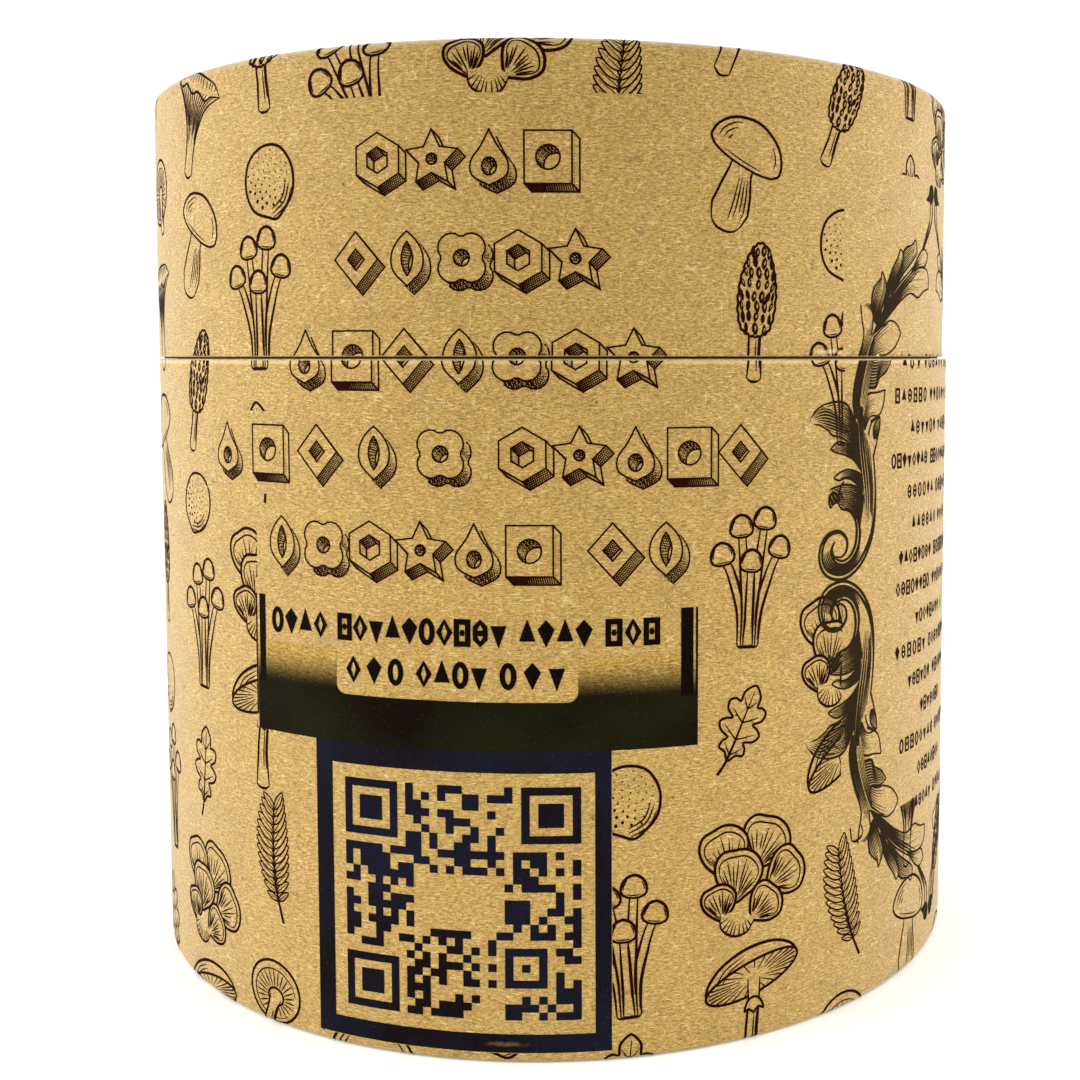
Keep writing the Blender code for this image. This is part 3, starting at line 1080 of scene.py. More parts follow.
def drawBrackets(d):
    for u, v, wide, tall, turn in (
        (0.8, 0.9, 5.4, 9.2, -6), (-3.4, -2.0, 4.8, 9.6, 32), (4.4, -2.2, 4.6, 8.6, -40),
        (-1.4, -5.8, 4.9, 9.2, 10), (3.0, -8.0, 3.9, 7.0, -30), (-2.6, -9.4, 3.4, 6.4, 30)
    ):
        fan(d, (u, v), wide, tall, turn)
    root = through([(-3.4, -8.6), (-2.4, -10.8), (0.3, -11.6), (2.8, -10.4), (3.6, -7.8)])
    bare(d, root + [(0.6, -6.4)])
    trace(d, root)
    hatch(d, root, [(-1, -7.6), (0, -7.0), (1.4, -7.2)], 9, (0.05, 0.6), 0.6 * lineMm, 0.1, 0.9)


def drawButton(d):
    filled(d, ellipse((0, 0), 6.6, 5.8, 12), 1.1)
    fold = ellipse((0.2, -0.3), 5.4, 4.6, 12)
    hub = ellipse((0.7, -0.7), 2.0, 1.6, 12)
    trace(d, span(fold + fold[:1], 0.05, 0.9, 30), 0.6)
    for i in range(24):
        a, b = at(fold + fold[:1], i / 24), at(hub + hub[:1], i / 24)
        trace(d, [between(a, b, 0.05 + 0.85 * k / 3) for k in range(4)], 0.6)
    filled(d, hub)
    stalk(d, [(1.2, -7.4), (0.9, -4), (0.7, -0.9)], (2.7, 2.4, 2.8), 2)


def drawPuffball(d, dots=46, goldenAngle=2.39996):
    ball = [
        (-1.5, -5.6), (-4.6, -3.4), (-5.4, 0.4), (-3.6, 4.2), (0.2, 5.6), (3.9, 4.3), (5.5, 0.6),
        (4.5, -3.3), (1.7, -5.6), (0, -6.3)
    ]
    ball = through(ball, 0.6, True)
    filled(d, ball, 1.0, True)
    for i in range(dots):
        size, angle = 4.9 * math.sqrt((i + 0.5) / dots), i * goldenAngle
        place = (size * math.cos(angle), 0.2 + size * 0.95 * math.sin(angle))
        dot = 0.13 + 0.2 * max(0.0, -(place[0] + place[1]) / 7)
        blot(d, ellipse(place, dot * 1.2, dot, math.degrees(angle), 7))
    for i in range(3):
        inner = [(-0.6, -5.9 + i * 0.7), (2.6 - 0.2 * i, -4.9 + i * 0.75), (4.5 - 0.4 * i, -2.6 + i * 0.8)]
        trace(d, through(inner, 0.5), 0.6)


def drawOakLeaf(d):
    half = [
        (0, -7), (1.2, -5.6), (2.6, -5.2), (2.4, -3.8), (1.7, -3), (3.6, -2.2), (4.4, -0.8), (3.2, 0.2),
        (2.2, 0.6), (3.8, 1.8), (4.0, 3.4), (2.8, 4), (1.9, 3.8), (1.8, 5.6), (0.9, 6.8)
    ]
    filled(d, through(half + [(0, 7.4)] + [(-u, v) for u, v in half[:0:-1]], 0.5, True))
    stroke(d, [(-0.8, -10), (-0.2, -7.5), (0, -3), (0, 2), (0.1, 6.4)], 0.6, (0.6, 0.5, 0.35, 0.15))
    for v, reach in ((-4.6, 1.9), (-1.6, 3.3), (1.6, 2.9), (4.2, 1.5)):
        for side in (-reach, reach):
            stroke(d, [(0, v - 1.3), (side * 0.5, v - 0.4), (side, v + 0.6)], 0.5, (0.35, 0.25, 0.12))
            stroke(d, [(side * 0.5, v - 0.4), (side * 0.72, v - 0.55)], 0.4, (0.2, 0.1))


def drawFern(d):
    frond = through([(0, 0), (0.3, 0.16), (0.7, 0.15), (1, 0), (0.7, -0.14), (0.3, -0.16)], 0.1, True)
    spine = through([(0.5, -11), (-0.3, -5), (0.1, 2), (1.6, 9.5)], 0.5)
    pen(d, spine, (0.55, 0.45, 0.3, 0.15))
    for i in range(13):
        t = 0.2 + 0.78 * i / 13
        u, v = at(spine, t)
        long = 4.6 * math.sin(math.pi * (0.18 + 0.8 * (1 - t))) + 0.5
        turn = 24 + 30 * t
        du, dv = long * 0.8 * math.cos(math.radians(turn)), long * 0.8 * math.sin(math.radians(turn))
        for side in (-1, 1):
            leaf = [(u + side * x, v + y) for x, y in moved(frond, (0, 0), (long, long), turn)]
            bare(d, leaf if side > 0 else leaf[::-1])
            trace(d, leaf, 0.6, True)
            pen(d, [(u, v), (u + side * du, v + dv)], (0.2, 0.1))


# the repeating print of fungi and leaves, which is cut off where the rest of the print has its clear places

motifs = (
    drawBolete, drawSlimGroup, drawParasol, drawFunnel, drawPuffball, drawBrackets, drawButton, drawMorel,
    drawOakLeaf, drawFern
)
pattern = {
    "Columns": 24, "Pitch u": 2 * halfRound / 24, "Leftmost": -23 / 24 * halfRound,
    "Rows": 8, "Pitch v": 21.5, "Lowest": -4.0, "Jitter": 1.5, "Turn": math.radians(26),
    "Smallest": 0.86, "Largest": 1.0, "Seed": 5, "Step u": 4, "Step v": 3,
    "proudMm": 0.03, "splitMm": 95,  # it is printed as a front and a back piece, split this far round
}
clearMm = (
    # left, right, low, high
    (-42.5, 17.0, 75.0, 146.0), (-52.0, 23.0, 72.5, 84.5), (-66.0, 36.0, 86.0, 99.0),
    (-47.0, 19.0, 99.0, 113.5), (-52.6, 21.4, 48.3, 72.5), (-39.8, 7.8, 1.6, 48.3),
    (49.0, 115.0, 30.0, 138.0), (41.0, 49.0, 70.0, 84.0),
)


def stampsPicked(add, points, stamps, pick, **more):
    # at each point one of the stamps, by its number
    kinds = {"Collection": stamps, "Separate Children": True, "Reset Children": True}
    kinds = add("GeometryNodeCollectionInfo", kinds)
    placed = {"Points": points, "Instance": kinds, "Pick Instance": True, "Instance Index": pick, **more}
    return add("GeometryNodeInstanceOnPoints", placed)


def scatterTree():
    # a half-drop lattice whose motifs are jogged, turned and sized by chance
    tree, add, given = newTree(
        "scatterMotifs", {"Geometry": "Geometry"}, Collection="Motifs", Material="Material",
        Int="Columns, Rows, Seed, Step u, Step v, Kinds",
        Float="Pitch u, Pitch v, Leftmost, Lowest, Jitter, Turn, Smallest, Largest"
    )
    grid = add("GeometryNodeMeshGrid", {"Vertices X": given["Columns"], "Vertices Y": given["Rows"]})
    index = add("GeometryNodeInputIndex")
    column = add("ShaderNodeMath", (index, given["Rows"]), operation="DIVIDE")
    column = add("ShaderNodeMath", (column,), operation="FLOOR")
    row = add("ShaderNodeMath", (index, given["Rows"]), operation="MODULO")
    drop = add("ShaderNodeMath", (column, 2.0), operation="MODULO")
    drop = add("ShaderNodeMath", (drop, 0.5, row), operation="MULTIPLY_ADD")
    u = add("ShaderNodeMath", (column, given["Pitch u"], given["Leftmost"]), operation="MULTIPLY_ADD")
    v = add("ShaderNodeMath", (drop, given["Pitch v"], given["Lowest"]), operation="MULTIPLY_ADD")
    place = add("ShaderNodeCombineXYZ", (u, v))
    jog = {0: (-1.0, -1.0, 0.0), 1: (1.0, 1.0, 0.0), "Seed": given["Seed"]}
    jog = add("FunctionNodeRandomValue", jog, data_type="FLOAT_VECTOR")
    jog = add("ShaderNodeVectorMath", {0: jog, "Scale": given["Jitter"]}, operation="SCALE")
    place = add("ShaderNodeVectorMath", (place, jog), operation="ADD")
    points = add("GeometryNodeSetPosition", {"Geometry": grid, "Position": place})
    pick = add("ShaderNodeMath", (row, given["Step v"]), operation="MULTIPLY")
    pick = add("ShaderNodeMath", (column, given["Step u"], pick), operation="MULTIPLY_ADD")
    pick = add("ShaderNodeMath", (pick, given["Kinds"]), operation="MODULO")
    turn = add("ShaderNodeMath", (given["Turn"], -1.0), operation="MULTIPLY")
    turn = {2: turn, 3: given["Turn"], "Seed": given["Seed"]}
    turn = add("FunctionNodeRandomValue", turn, 1, data_type="FLOAT")
    turn = add("ShaderNodeCombineXYZ", (0.0, 0.0, turn))
    size = {2: given["Smallest"], 3: given["Largest"], "Seed": given["Seed"]}
    size = add("FunctionNodeRandomValue", size, 1, data_type="FLOAT")
    printed = stampsPicked(add, points, given["Motifs"], pick, Rotation=turn, Scale=size)
    endTree(add, printed, (True, given["Material"]))
    return tree


def artOf(piece):
    # takes the art off a piece, which goes
    mesh = piece.data
    points = numpy.empty(3 * len(mesh.vertices))
    mesh.vertices.foreach_get("co", points)
    triangles = numpy.array([tuple(face.vertices) for face in mesh.polygons], dtype=int)
    bpy.data.objects.remove(piece)
    return points.reshape(-1, 3)[:, :2], triangles


def stampSet(name, drawings):
    # flat pieces that a tree picks from, in the order of their names
    stamps = bpy.data.collections.new(name)
    bpy.context.scene.collection.children.link(stamps)
    for i, drawing in enumerate(drawings):
        label = f"{name}{i:02}"
        stamps.objects.link(bpy.data.objects.new(label, flatMesh(label, flatten(drawing))))
    return stamps


def cleared(stamps):
    for stamp in list(stamps.objects):
        bpy.data.objects.remove(stamp)
    bpy.data.collections.remove(stamps)


def printPattern():
    stamps = stampSet("motifs", [drawn(draw) for draw in motifs])
    spread = newPiece("spread")
    values = {"Motifs": stamps, "Kinds": len(motifs), "Material": lineInk, **pattern}
    growMesh(spread, scatterTree(), values)
    cleared(stamps)
    art = artOf(spread)
    print("pattern", len(art[1]), "faces")
    art = withoutWindows(kept(art, lambda u, v: (v > -3) & (v < topEdge + 4)), clearMm)
    split = pattern["splitMm"]
    for side in (-halfRound, halfRound, -split, split):
        art = cutLine(art, 0, side)
    printOn("fungi_front", kept(art, lambda u, v: abs(u) < split), lineInk, pattern["proudMm"])
    printOn("fungi_back", kept(art, lambda u, v: abs(u) >= split), lineInk, pattern["proudMm"])


printPattern()


# the panel with its fade, and the bars at its sides

panel = {
    "leftMm": -52.1, "rightMm": 21.25, "lowMm": 48.3, "topMm": 62.6,
    "tabMm": (-35.7, 2.7, 55.8, 65.6), "tabCorner": 1.6,
    # left, right, low and high edge of each bar
    "barsMm": (
        (-51.6, -50.2, 56.0, 70.0), (-52.5, -52.2, 50.5, 70.0),
        (18.5, 20.5, 56.0, 69.6), (20.9, 21.25, 56.0, 69.6),
    ),
    "proudMm": 0.05, "barsProudMm": 0.06,
}


def roundedBox(left, right, low, high, corner):
    line, places = [], box(left + corner, right - corner, low + corner, high - corner)
    for (u, v), start in zip(places[1:] + places[:1], (-90, 0, 90, 180)):
        line += arc(u, v, corner, start, start + 90, 6)
    return line


def box(left, right, low, high):
    return [(left, low), (right, low), (right, high), (left, high)]


def drawPanel(d):
    blot(d, box(panel["leftMm"], panel["rightMm"], panel["lowMm"], panel["topMm"]))
    bare(d, roundedBox(*panel["tabMm"], panel["tabCorner"]))


def drawBars(d):
    for bar in panel["barsMm"]:
        blot(d, box(*bar))


printOn("panel", flatten(drawn(drawPanel)), panelInk, panel["proudMm"])
printOn("panel_bars", flatten(drawn(drawBars)), boldInk, panel["barsProudMm"])


# the block of square modules in its frame

codeBlock = {
    "Modules": 29, "Width": 37.5, "Height": 36.1, "Middle": (-15.65, 24.85, 0.0),
    "Open share": 0.47, "Seed": 3,
    "frameMm": ((-39.75, 7.7, 1.7, 48.5), (-36.7, 5.2, 4.6, 45.0)),           # outer and inner edges
    "squares": ((-11, -11, 3.5), (-11, 11, 3.5), (11, 11, 3.5), (8, -8, 2.5)),   # from the middle, in modules
    "blank": (0, 0, 5.5, 3.5),
    "proudMm": 0.04,
}


def modulesTree():
    # a grid of square modules, some left open by chance
    tree, add, given = newTree(
        "codeModules", {"Geometry": "Geometry"}, Int="Modules, Seed", Float="Width, Height, Open share",
        Vector="Middle", Material="Material"
    )
    lines = add("ShaderNodeMath", (given["Modules"], 1.0), operation="ADD")
    grid = add("GeometryNodeMeshGrid", (given["Width"], given["Height"], lines, lines))
    gone = {"Probability": given["Open share"], "Seed": given["Seed"]}
    gone = add("FunctionNodeRandomValue", gone, 3, data_type="BOOLEAN")
    left = add("GeometryNodeDeleteGeometry", (grid, gone), domain="FACE", mode="ALL")
    placed = add("GeometryNodeSetPosition", {"Geometry": left, "Offset": given["Middle"]})
    endTree(add, add("GeometryNodeTriangulate", (placed,)), (True, given["Material"]))
    return tree


def printCode():
    s = codeBlock
    block = newPiece("modules")
    growMesh(block, modulesTree(), {"Material": frameInk, **s})
    modules = artOf(block)
    midU, midV, _ = s["Middle"]
    wide, tall = s["Width"] / s["Modules"], s["Height"] / s["Modules"]
    places = [(column, row, ring + 1, ring + 1) for column, row, ring in s["squares"]] + [s["blank"]]
    for column, row, across, up in places:
        u, v = midU + column * wide, midV + row * tall
        window = (u - across * wide, u + across * wide, v - up * tall, v + up * tall)
        modules = withoutWindows(modules, [window])
    outer, inner = s["frameMm"]
    d = []
    blot(d, box(*outer))
    bare(d, box(*inner))
    for column, row, ring in s["squares"]:
        u, v = midU + column * wide, midV + row * tall
        for mark, reach in ((blot, ring), (bare, ring - 1), (blot, ring - 2)):
            mark(d, box(u - reach * wide, u + reach * wide, v - reach * tall, v + reach * tall))
    printOn("code_block", joined(flatten(d), modules), frameInk, s["proudMm"])


printCode()


# rows of stamps along straight runs: large blocks with a shaded depth, bold marks, fine marks

def stampRunsTree():
    # stamps stand at even steps along every edge of a mesh, which they fill from end to end
    tree, add, given = newTree(
        "stampRuns", {"Geometry": "Geometry"}, Geometry="Geometry", Collection="Stamps",
        Material="Material", Int="Kinds, Order, Jog, Seed", Float="Pitch"
    )
    lines = add("GeometryNodeMeshToCurve", (given["Geometry"],))
    points = add("GeometryNodeCurveToPoints", {"Curve": lines, "Length": given["Pitch"]}, mode="LENGTH")
    jog = add("FunctionNodeRandomValue", {4: 0, 5: given["Jog"], "Seed": given["Seed"]}, 2, data_type="INT")
    index = add("GeometryNodeInputIndex")
    pick = add("ShaderNodeMath", (index, given["Order"], jog), operation="MULTIPLY_ADD")
    pick = add("ShaderNodeMath", (pick, given["Kinds"]), operation="MODULO")
    endTree(add, stampsPicked(add, points, given["Stamps"], pick), (True, given["Material"]))
    return tree


stampRuns = stampRunsTree()


def printRuns(name, drawings, ink, s):
    # runs are first middle, last middle and level
    stamps = stampSet(name, drawings)
    rows = newPiece("rows")
    points = [(u, level, 0.0) for first, last, level in s["runs"] for u in (first, last)]
    rows.data.from_pydata(points, [(2 * i, 2 * i + 1) for i in range(len(s["runs"]))], [])
    growMesh(rows, stampRuns, {"Stamps": stamps, "Kinds": len(drawings), "Material": ink, **s})
    printOn(name, artOf(rows), ink, s["proudMm"])
    cleared(stamps)


def edging(drawing, a, b, width):
    # a short straight line with square ends
    long = math.dist(a, b) or 1.0
    u, v = (b[0] - a[0]) / long * width / 2, (b[1] - a[1]) / long * width / 2
    near = ((a[0] - u + v, a[1] - v - u), (b[0] + u + v, b[1] + v - u))
    blot(drawing, (*near, (b[0] + u - v, b[1] + v + u), (a[0] - u - v, a[1] - v + u)))


blockRows = {
    "halfHeight": 4.05, "band": 1.9, "depthMm": (1.15, -1.2), "outline": 0.27, "dotPitch": 0.34,
    "runs": (
        (-27.7, -1.6, 136.65), (-31.5, 2.4, 122.05), (-41.0, 11.1, 107.55), (-59.3, -28.6, 93.05),
        (-17.9, -17.8, 93.05), (-5.5, 28.3, 93.05), (-46.2, -4.5, 78.65), (7.9, 16.1, 78.65)
    ),
    "Pitch": 8.15, "Order": 3, "Jog": 0, "Seed": 0, "proudMm": 0.04
}


def petals(count, deep, size, steps, turn):
    # a round outline with petals
    angles = [2 * math.pi * i / (count * steps) for i in range(count * steps)]
    sizes = [size * (1 - deep + deep * abs(math.cos(count * angle / 2)) ** 0.7) for angle in angles]
    return ringOf(sizes, turn)


def corners(count, size, turn=90.0, inner=None):
    # a polygon, or a star where an inner size is given
    return ringOf([size, inner] * count if inner else [size] * count, turn)


def ringOf(sizes, turn):
    # points at these distances, at even steps round a middle
    angles = [2 * math.pi * i / len(sizes) + math.radians(turn) for i in range(len(sizes))]
    return [(size * math.cos(angle), size * math.sin(angle)) for size, angle in zip(sizes, angles)]


def blockShapes():
    # each block's outer outline about its middle, then its opening
    r, band = blockRows["halfHeight"], blockRows["band"]
    leaf = through([(0, -1), (0.55, -0.45), (0.62, 0.15), (0.36, 0.66), (0, 1)], 0.16)
    slit = through([(0, -0.62), (0.2, -0.2), (0.2, 0.2), (0, 0.62), (-0.2, 0.2), (-0.2, -0.2)], 0.2, True)
    drop = through([(0, 1), (-0.3, 0.42), (-0.68, -0.14), (-0.62, -0.66), (0, -1)], 0.16)
    leaf, drop = ([*side, *((-u, v) for u, v in side[-2:0:-1])] for side in (leaf, drop))
    leaf, slit, drop = (moved(shape, (0, 0), (r, r)) for shape in (leaf, slit, drop))
    diamond, window = (moved(corners(4, size), (0, 0), (0.9, 1.0)) for size in (r * 1.02, r - band * 1.3))
    return (
        (corners(6, r * 1.0), corners(6, r - band * 1.12)), (leaf, slit),
        (box(-r * 0.87, r * 0.87, -r * 0.95, r * 0.95), ellipse((0, 0), r * 0.44, r * 0.44, 0, 20)),
        (corners(5, r * 1.04, 90, r * 0.52), ellipse((0, -0.1), r * 0.2, r * 0.2, 0, 12)),
        (petals(4, 0.34, r * 1.04, 9, 45), ellipse((0, 0), r * 0.3, r * 0.3, 0, 14)), (diamond, window),
        (drop, ellipse((0, -r * 0.32), r * 0.27, r * 0.32, 0, 14))
    )


def stipple(drawing, a, b, depth, tone):
    # one side of a block: dark dots on paper, or pale dots on ink where it is darker than half
    pitch = blockRows["dotPitch"]
    columns, rows = max(1, round(math.dist(a, b) / pitch)), round(math.hypot(*depth) / pitch)
    ground, dot = (blot, bare) if tone > 0.5 else (bare, blot)
    ground(drawing, (a, (a[0] + depth[0], a[1] + depth[1]), (b[0] + depth[0], b[1] + depth[1]), b))
    for column in range(columns):
        for row in range(rows):
            across, down = (column + 0.3 + 0.4 * (row % 2)) / columns, (row + 0.5) / rows
            local = tone * (1.2 - 0.45 * across) - 0.12 * down
            cover = min(0.6, 1 - local if tone > 0.5 else local)
            if cover > 0.06:
                place = tuple(p + deep * down for p, deep in zip(between(a, b, across), depth))
                half = pitch * math.sqrt(cover / 2)
                dot(drawing, moved(((1, 0), (0, 1), (-1, 0), (0, -1)), place, (half, half)))


def drawBlock(d, outlines):
    # the block's sides, the furthest down its depth first, then its face with its opening
    du, dv = blockRows["depthMm"]
    width, deep = blockRows["outline"], math.hypot(du, dv)
    sides = []
    for n, outline in enumerate(outlines):
        area = sum(a[0] * b[1] - b[0] * a[1] for a, b in edges(outline))
        line = outline if (area > 0) == (n == 0) else outline[::-1]
        for a, b in edges(line):
            long = math.dist(a, b)
            nu, nv = (b[1] - a[1]) / long, (a[0] - b[0]) / long
            if (nu * du + nv * dv) / deep > 0.02:
                tone = 0.12 - 0.85 * nv if n == 0 else 0.5 - 0.45 * nv
                sides.append(((a[0] + b[0]) * du + (a[1] + b[1]) * dv, a, b, tone, long))
    for _, a, b, tone, long in sorted(sides):
        c, e = ((p[0] + du, p[1] + dv) for p in (a, b))
        stipple(d, a, b, (du, dv), tone)
        for start, end in ((c, e), (a, c), (b, e)) if long > 1.2 else ((c, e),):
            edging(d, start, end, width)
    points = sum(outlines, [])
    for triangle in tessellate_polygon([[Vector((*point, 0.0)) for point in line] for line in outlines]):
        bare(d, [points[i] for i in triangle])
    for line in outlines:
        for a, b in edges(line):
            edging(d, a, b, width)


boldRows = {
    "halfHeight": 2.1, "thick": 0.86,
    "runs": (
        (-47.4, -38.6, 66.25), (-34.1, -9.2, 66.25), (-4.9, 3.6, 66.25), (8.1, 13.9, 66.25),
        (-32.6, -25.4, 59.8), (-20.8, -12.2, 59.8), (-7.8, -0.5, 59.8)
    ),
    "Pitch": 2.75, "Order": 4, "Jog": 2, "Seed": 4, "proudMm": 0.06
}


def drawMarks(s):
    # small solid and open marks, all of about the same height
    r, thick = s["halfHeight"], s["thick"]
    wide = 0.62 * r

    def hollow(shape):
        return (blot, shape, wide, r), (bare, shape, wide - thick, r - thick)

    rhomb, disc = corners(4, 1), ellipse((0, 0), 1, 1, 0, 16)
    square, hexagon = box(-1, 1, -1, 1), corners(6, 1)
    dot = ellipse((0, 0), wide * 0.32, r * 0.25, 0, 8)
    bar = box(-wide * 0.9, wide * 0.9, -thick / 2, thick / 2)
    marks = (
        hollow(rhomb), hollow(disc), ((blot, corners(3, 1.1), wide, r),),
        ((blot, corners(3, 1.1, -90), wide, r),), (*hollow(square), (blot, dot, 1.0, 1.0)),
        ((blot, [(0, 1), (1, 0.3), (0, -1), (-1, 0.3)], wide, r),),
        (*hollow(hexagon), (blot, bar, 1.0, 1.0))
    )
    drawings = []
    for mark in marks:
        drawings.append([])
        for lay, shape, across, up in mark:
            lay(drawings[-1], moved(shape, (0, 0), (across, up)))
    return drawings


fineRows = {
    "halfHeight": 1.3, "thick": 0.42, "middle": 82.0, "marks": (3, 8), "gapMm": 1.6,
    "levels": (106.8, 101, 95.5, 90, 84.5, 79, 73.3, 68, 62.3, 57, 51.5, 46, 40.5, 35, 29),
    "starts": (66.5, 64, 70, 63, 69, 71, 66, 65, 73, 65, 70, 76, 67, 75, 72), "Pitch": 1.95, "Order": 5,
    "Jog": 3, "Seed": 9, "proudMm": 0.05
}


def fineRuns(s):
    # each row is broken into short runs and is as long on both sides of the middle
    runs = []
    for level, start in zip(s["levels"], s["starts"]):
        u, end = start, 2 * s["middle"] - start
        while u < end:
            long = hand.randint(*s["marks"]) * s["Pitch"]
            stop = end if end - u - long < 4 else u + long
            runs.append((u, stop, level))
            u = stop + s["Pitch"] + s["gapMm"]
    return runs


printRuns("block_rows", [drawn(drawBlock, shape) for shape in blockShapes()], blockInk, blockRows)
printRuns("bold_rows", drawMarks(boldRows), boldInk, boldRows)
printRuns("fine_rows", drawMarks(fineRows), blockInk, {"runs": fineRuns(fineRows), **fineRows})


# the scroll of acanthus leaves: one quarter is drawn, the others mirror it

scroll = {"middle": (82.0, 71.5), "outline": 0.32, "proudMm": 0.045}


def lobe(drawing, upper, lower, strokes, reach=(0.35, 0.8), width=0.42):
    # a leaf's tongue, between an upper and a lower edge from its root to its tip
    upper, lower = through(upper, 0.5), through(lower, 0.5)
    bare(drawing, upper + lower[::-1])
    grain(drawing, upper, lower, strokes, reach, 0.72 * width)
    for edge in (upper, lower):
        pen(drawing, edge, (0.25, scroll["outline"], scroll["outline"], 0.3))


def shadow(drawing, points, strokes):
    # a dark underside with pale strokes in it
    line = through(points, 0.3, True)
    half = len(line) // 2
    blot(drawing, line)
    grain(drawing, line[:half], line[:half - 1:-1], strokes, (0.6, 0.92), 0.22, bare)


def veinBetween(drawing, first, second, share, widths):
    pen(drawing, [between(a, b, share) for a, b in zip(first, second)], widths)


def drawScrollQuarter(d):
    # the great leaf that runs up over the seam, its upper side first
    lobe(
        d, [(73, 123.2), (75, 126), (78, 129.6), (79.6, 132), (79.6, 135)],
        [(73, 121.8), (76, 126.2), (79.2, 129.4), (81, 132), (80.9, 135)], 5, (0.7, 1.0), 0.4
    )
    lobe(
        d, [(70, 122), (73.6, 125.2), (76.2, 126.2), (78.3, 125.4)],
        [(70, 121), (73, 122.8), (75.4, 123), (77.2, 123.6), (78.3, 125.4)], 6, (0.5, 0.8), 0.3
    )
    lobe(
        d,
        [
            (58.5, 112), (61, 115), (65.5, 119), (70, 121.8), (74, 122.9), (77.4, 122.8), (78.8, 121.4),
            (79, 119.5)
        ],
        [
            (57.5, 111), (60.5, 113.4), (63, 115.2), (66, 117), (69.5, 118.3), (73, 117.7), (76, 118.9),
            (79, 119.5)
        ],
        11, (0.45, 0.85), 0.36
    )
    lobe(
        d, [(64, 122), (66.4, 125), (68, 126.1), (70, 126.5), (71.8, 127.6)],
        [(62, 117), (66, 121), (70, 123.6), (72.4, 125.4), (71.8, 127.6)], 9, (0.75, 1.0), 0.5
    )
    lobe(
        d, [(60, 118), (62.5, 121.8), (64.3, 123.8), (65.6, 125.6)],
        [(60, 115), (63, 119.4), (65.6, 122.4), (66.6, 124.6), (65.6, 125.6)], 7, (0.7, 1.0), 0.5
    )
    lobe(
        d, [(56.2, 114), (56.6, 118), (58, 119.6), (59.1, 120.5), (59.4, 121.6)],
        [(58, 112.6), (59.6, 115.8), (60.8, 118.4), (60.5, 120.2), (59.4, 121.6)], 9, (0.6, 0.95), 0.46
    )
    lobe(
        d, [(53.9, 108.5), (54.3, 111.5), (53.8, 113.5), (53.4, 116)],
        [(56.2, 109), (56.7, 112.6), (56.8, 114.4), (55.6, 115.9), (53.4, 116)], 7, (0.25, 0.5), 0.34
    )
    shadow(d, [(53.4, 116), (54.9, 115.7), (56.4, 114.9), (57.2, 113.6), (56.9, 115), (55.6, 116.2)], 2)
    for k in range(4):
        vein = [
            (56.6 + 0.5 * k, 110.4 + 0.1 * k), (59.6 + 0.5 * k, 114.6 - 0.1 * k),
            (64 + 0.5 * k, 118.9 - 0.3 * k), (69.5 + 0.4 * k, 122.2 - 0.4 * k), (73.5, 124 - 0.5 * k)
        ]
        stroke(d, vein, 0.6, (0.7 - 0.1 * k, 0.55 - 0.1 * k, 0.35, 0.15))
    # the stalk's right side leaves
    lobe(
        d, [(55.5, 109), (57.9, 111.3), (61, 113.2), (63, 113.5), (64.8, 112.8), (66, 111.5)],
        [(56.4, 106.6), (58.5, 107.6), (61, 107.9), (63.5, 108.9), (65, 110.2), (66, 111.5)], 9,
        (0.35, 0.6), 0.36
    )
    shadow(d, [(57.0, 110.9), (57.6, 110.7), (59.5, 112.0), (61.5, 113.0), (59.2, 112.5), (57.4, 111.7)], 1)
    lobe(
        d, [(55.4, 107.4), (57.6, 107.2), (59.8, 107.5), (61.6, 106.8)],
        [(54.6, 102.4), (57, 102.5), (58, 104), (60, 105), (61.6, 106.8)], 10, (0.7, 1.0), 0.55
    )
    lobe(
        d, [(53.4, 100.4), (55.2, 101.6), (57.5, 101.7), (59.9, 102.1)],
        [(53.2, 93.6), (55.4, 97.6), (58, 97.9), (59.3, 99.5), (59.9, 102.1)], 11, (0.3, 0.6), 0.4
    )
    lobe(
        d, [(55, 92.5), (55.4, 95.6), (56.6, 97.2), (58.4, 97.6)],
        [(56.5, 90.5), (57.5, 93.5), (58.3, 95.8), (58.4, 97.6)], 5, (0.15, 0.35), 0.3
    )
    lobe(
        d, [(56.7, 94.0), (56.5, 95.6), (57.2, 97.0), (58.4, 97.6)],
        [(57.2, 94.0), (58.0, 95.2), (58.35, 96.2), (58.4, 97.6)], 6, (0.8, 1.0), 0.3
    )
    stroke(d, [(55.7, 96.9), (56.6, 97.2), (57.6, 97.8), (58.5, 97.6)], 0.3, (0.5, 0.55, 0.3, 0.2))
    # the stalk, with the dark wedge between its two sides
    lean = through([(51.7, 97.5), (50.9, 100), (51.2, 103), (52.3, 106.5), (53.5, 109), (54.1, 111)])
    wedge = through([(53.2, 97.5), (53.0, 100), (53.6, 103), (54.8, 106.4), (56.0, 109), (57.2, 111)])
    bare(d, lean + wedge[::-1])
    for k in range(6):
        widths = (0.3, 0.34, 0.3, 0.12) if k else (0.4, 0.5, 0.45, 0.3)
        veinBetween(d, span(lean, 0, 1), span(wedge, 0, 1), 0.08 + 0.15 * k, widths)
    dark = through([(57.4, 110.2), (56.6, 107), (55.4, 104.2), (54.9, 101.6), (54.2, 99), (53.4, 97)])
    blot(d, wedge + dark)
    grain(d, wedge, dark[::-1], 4, (0.8, 1.0), 0.3, bare)
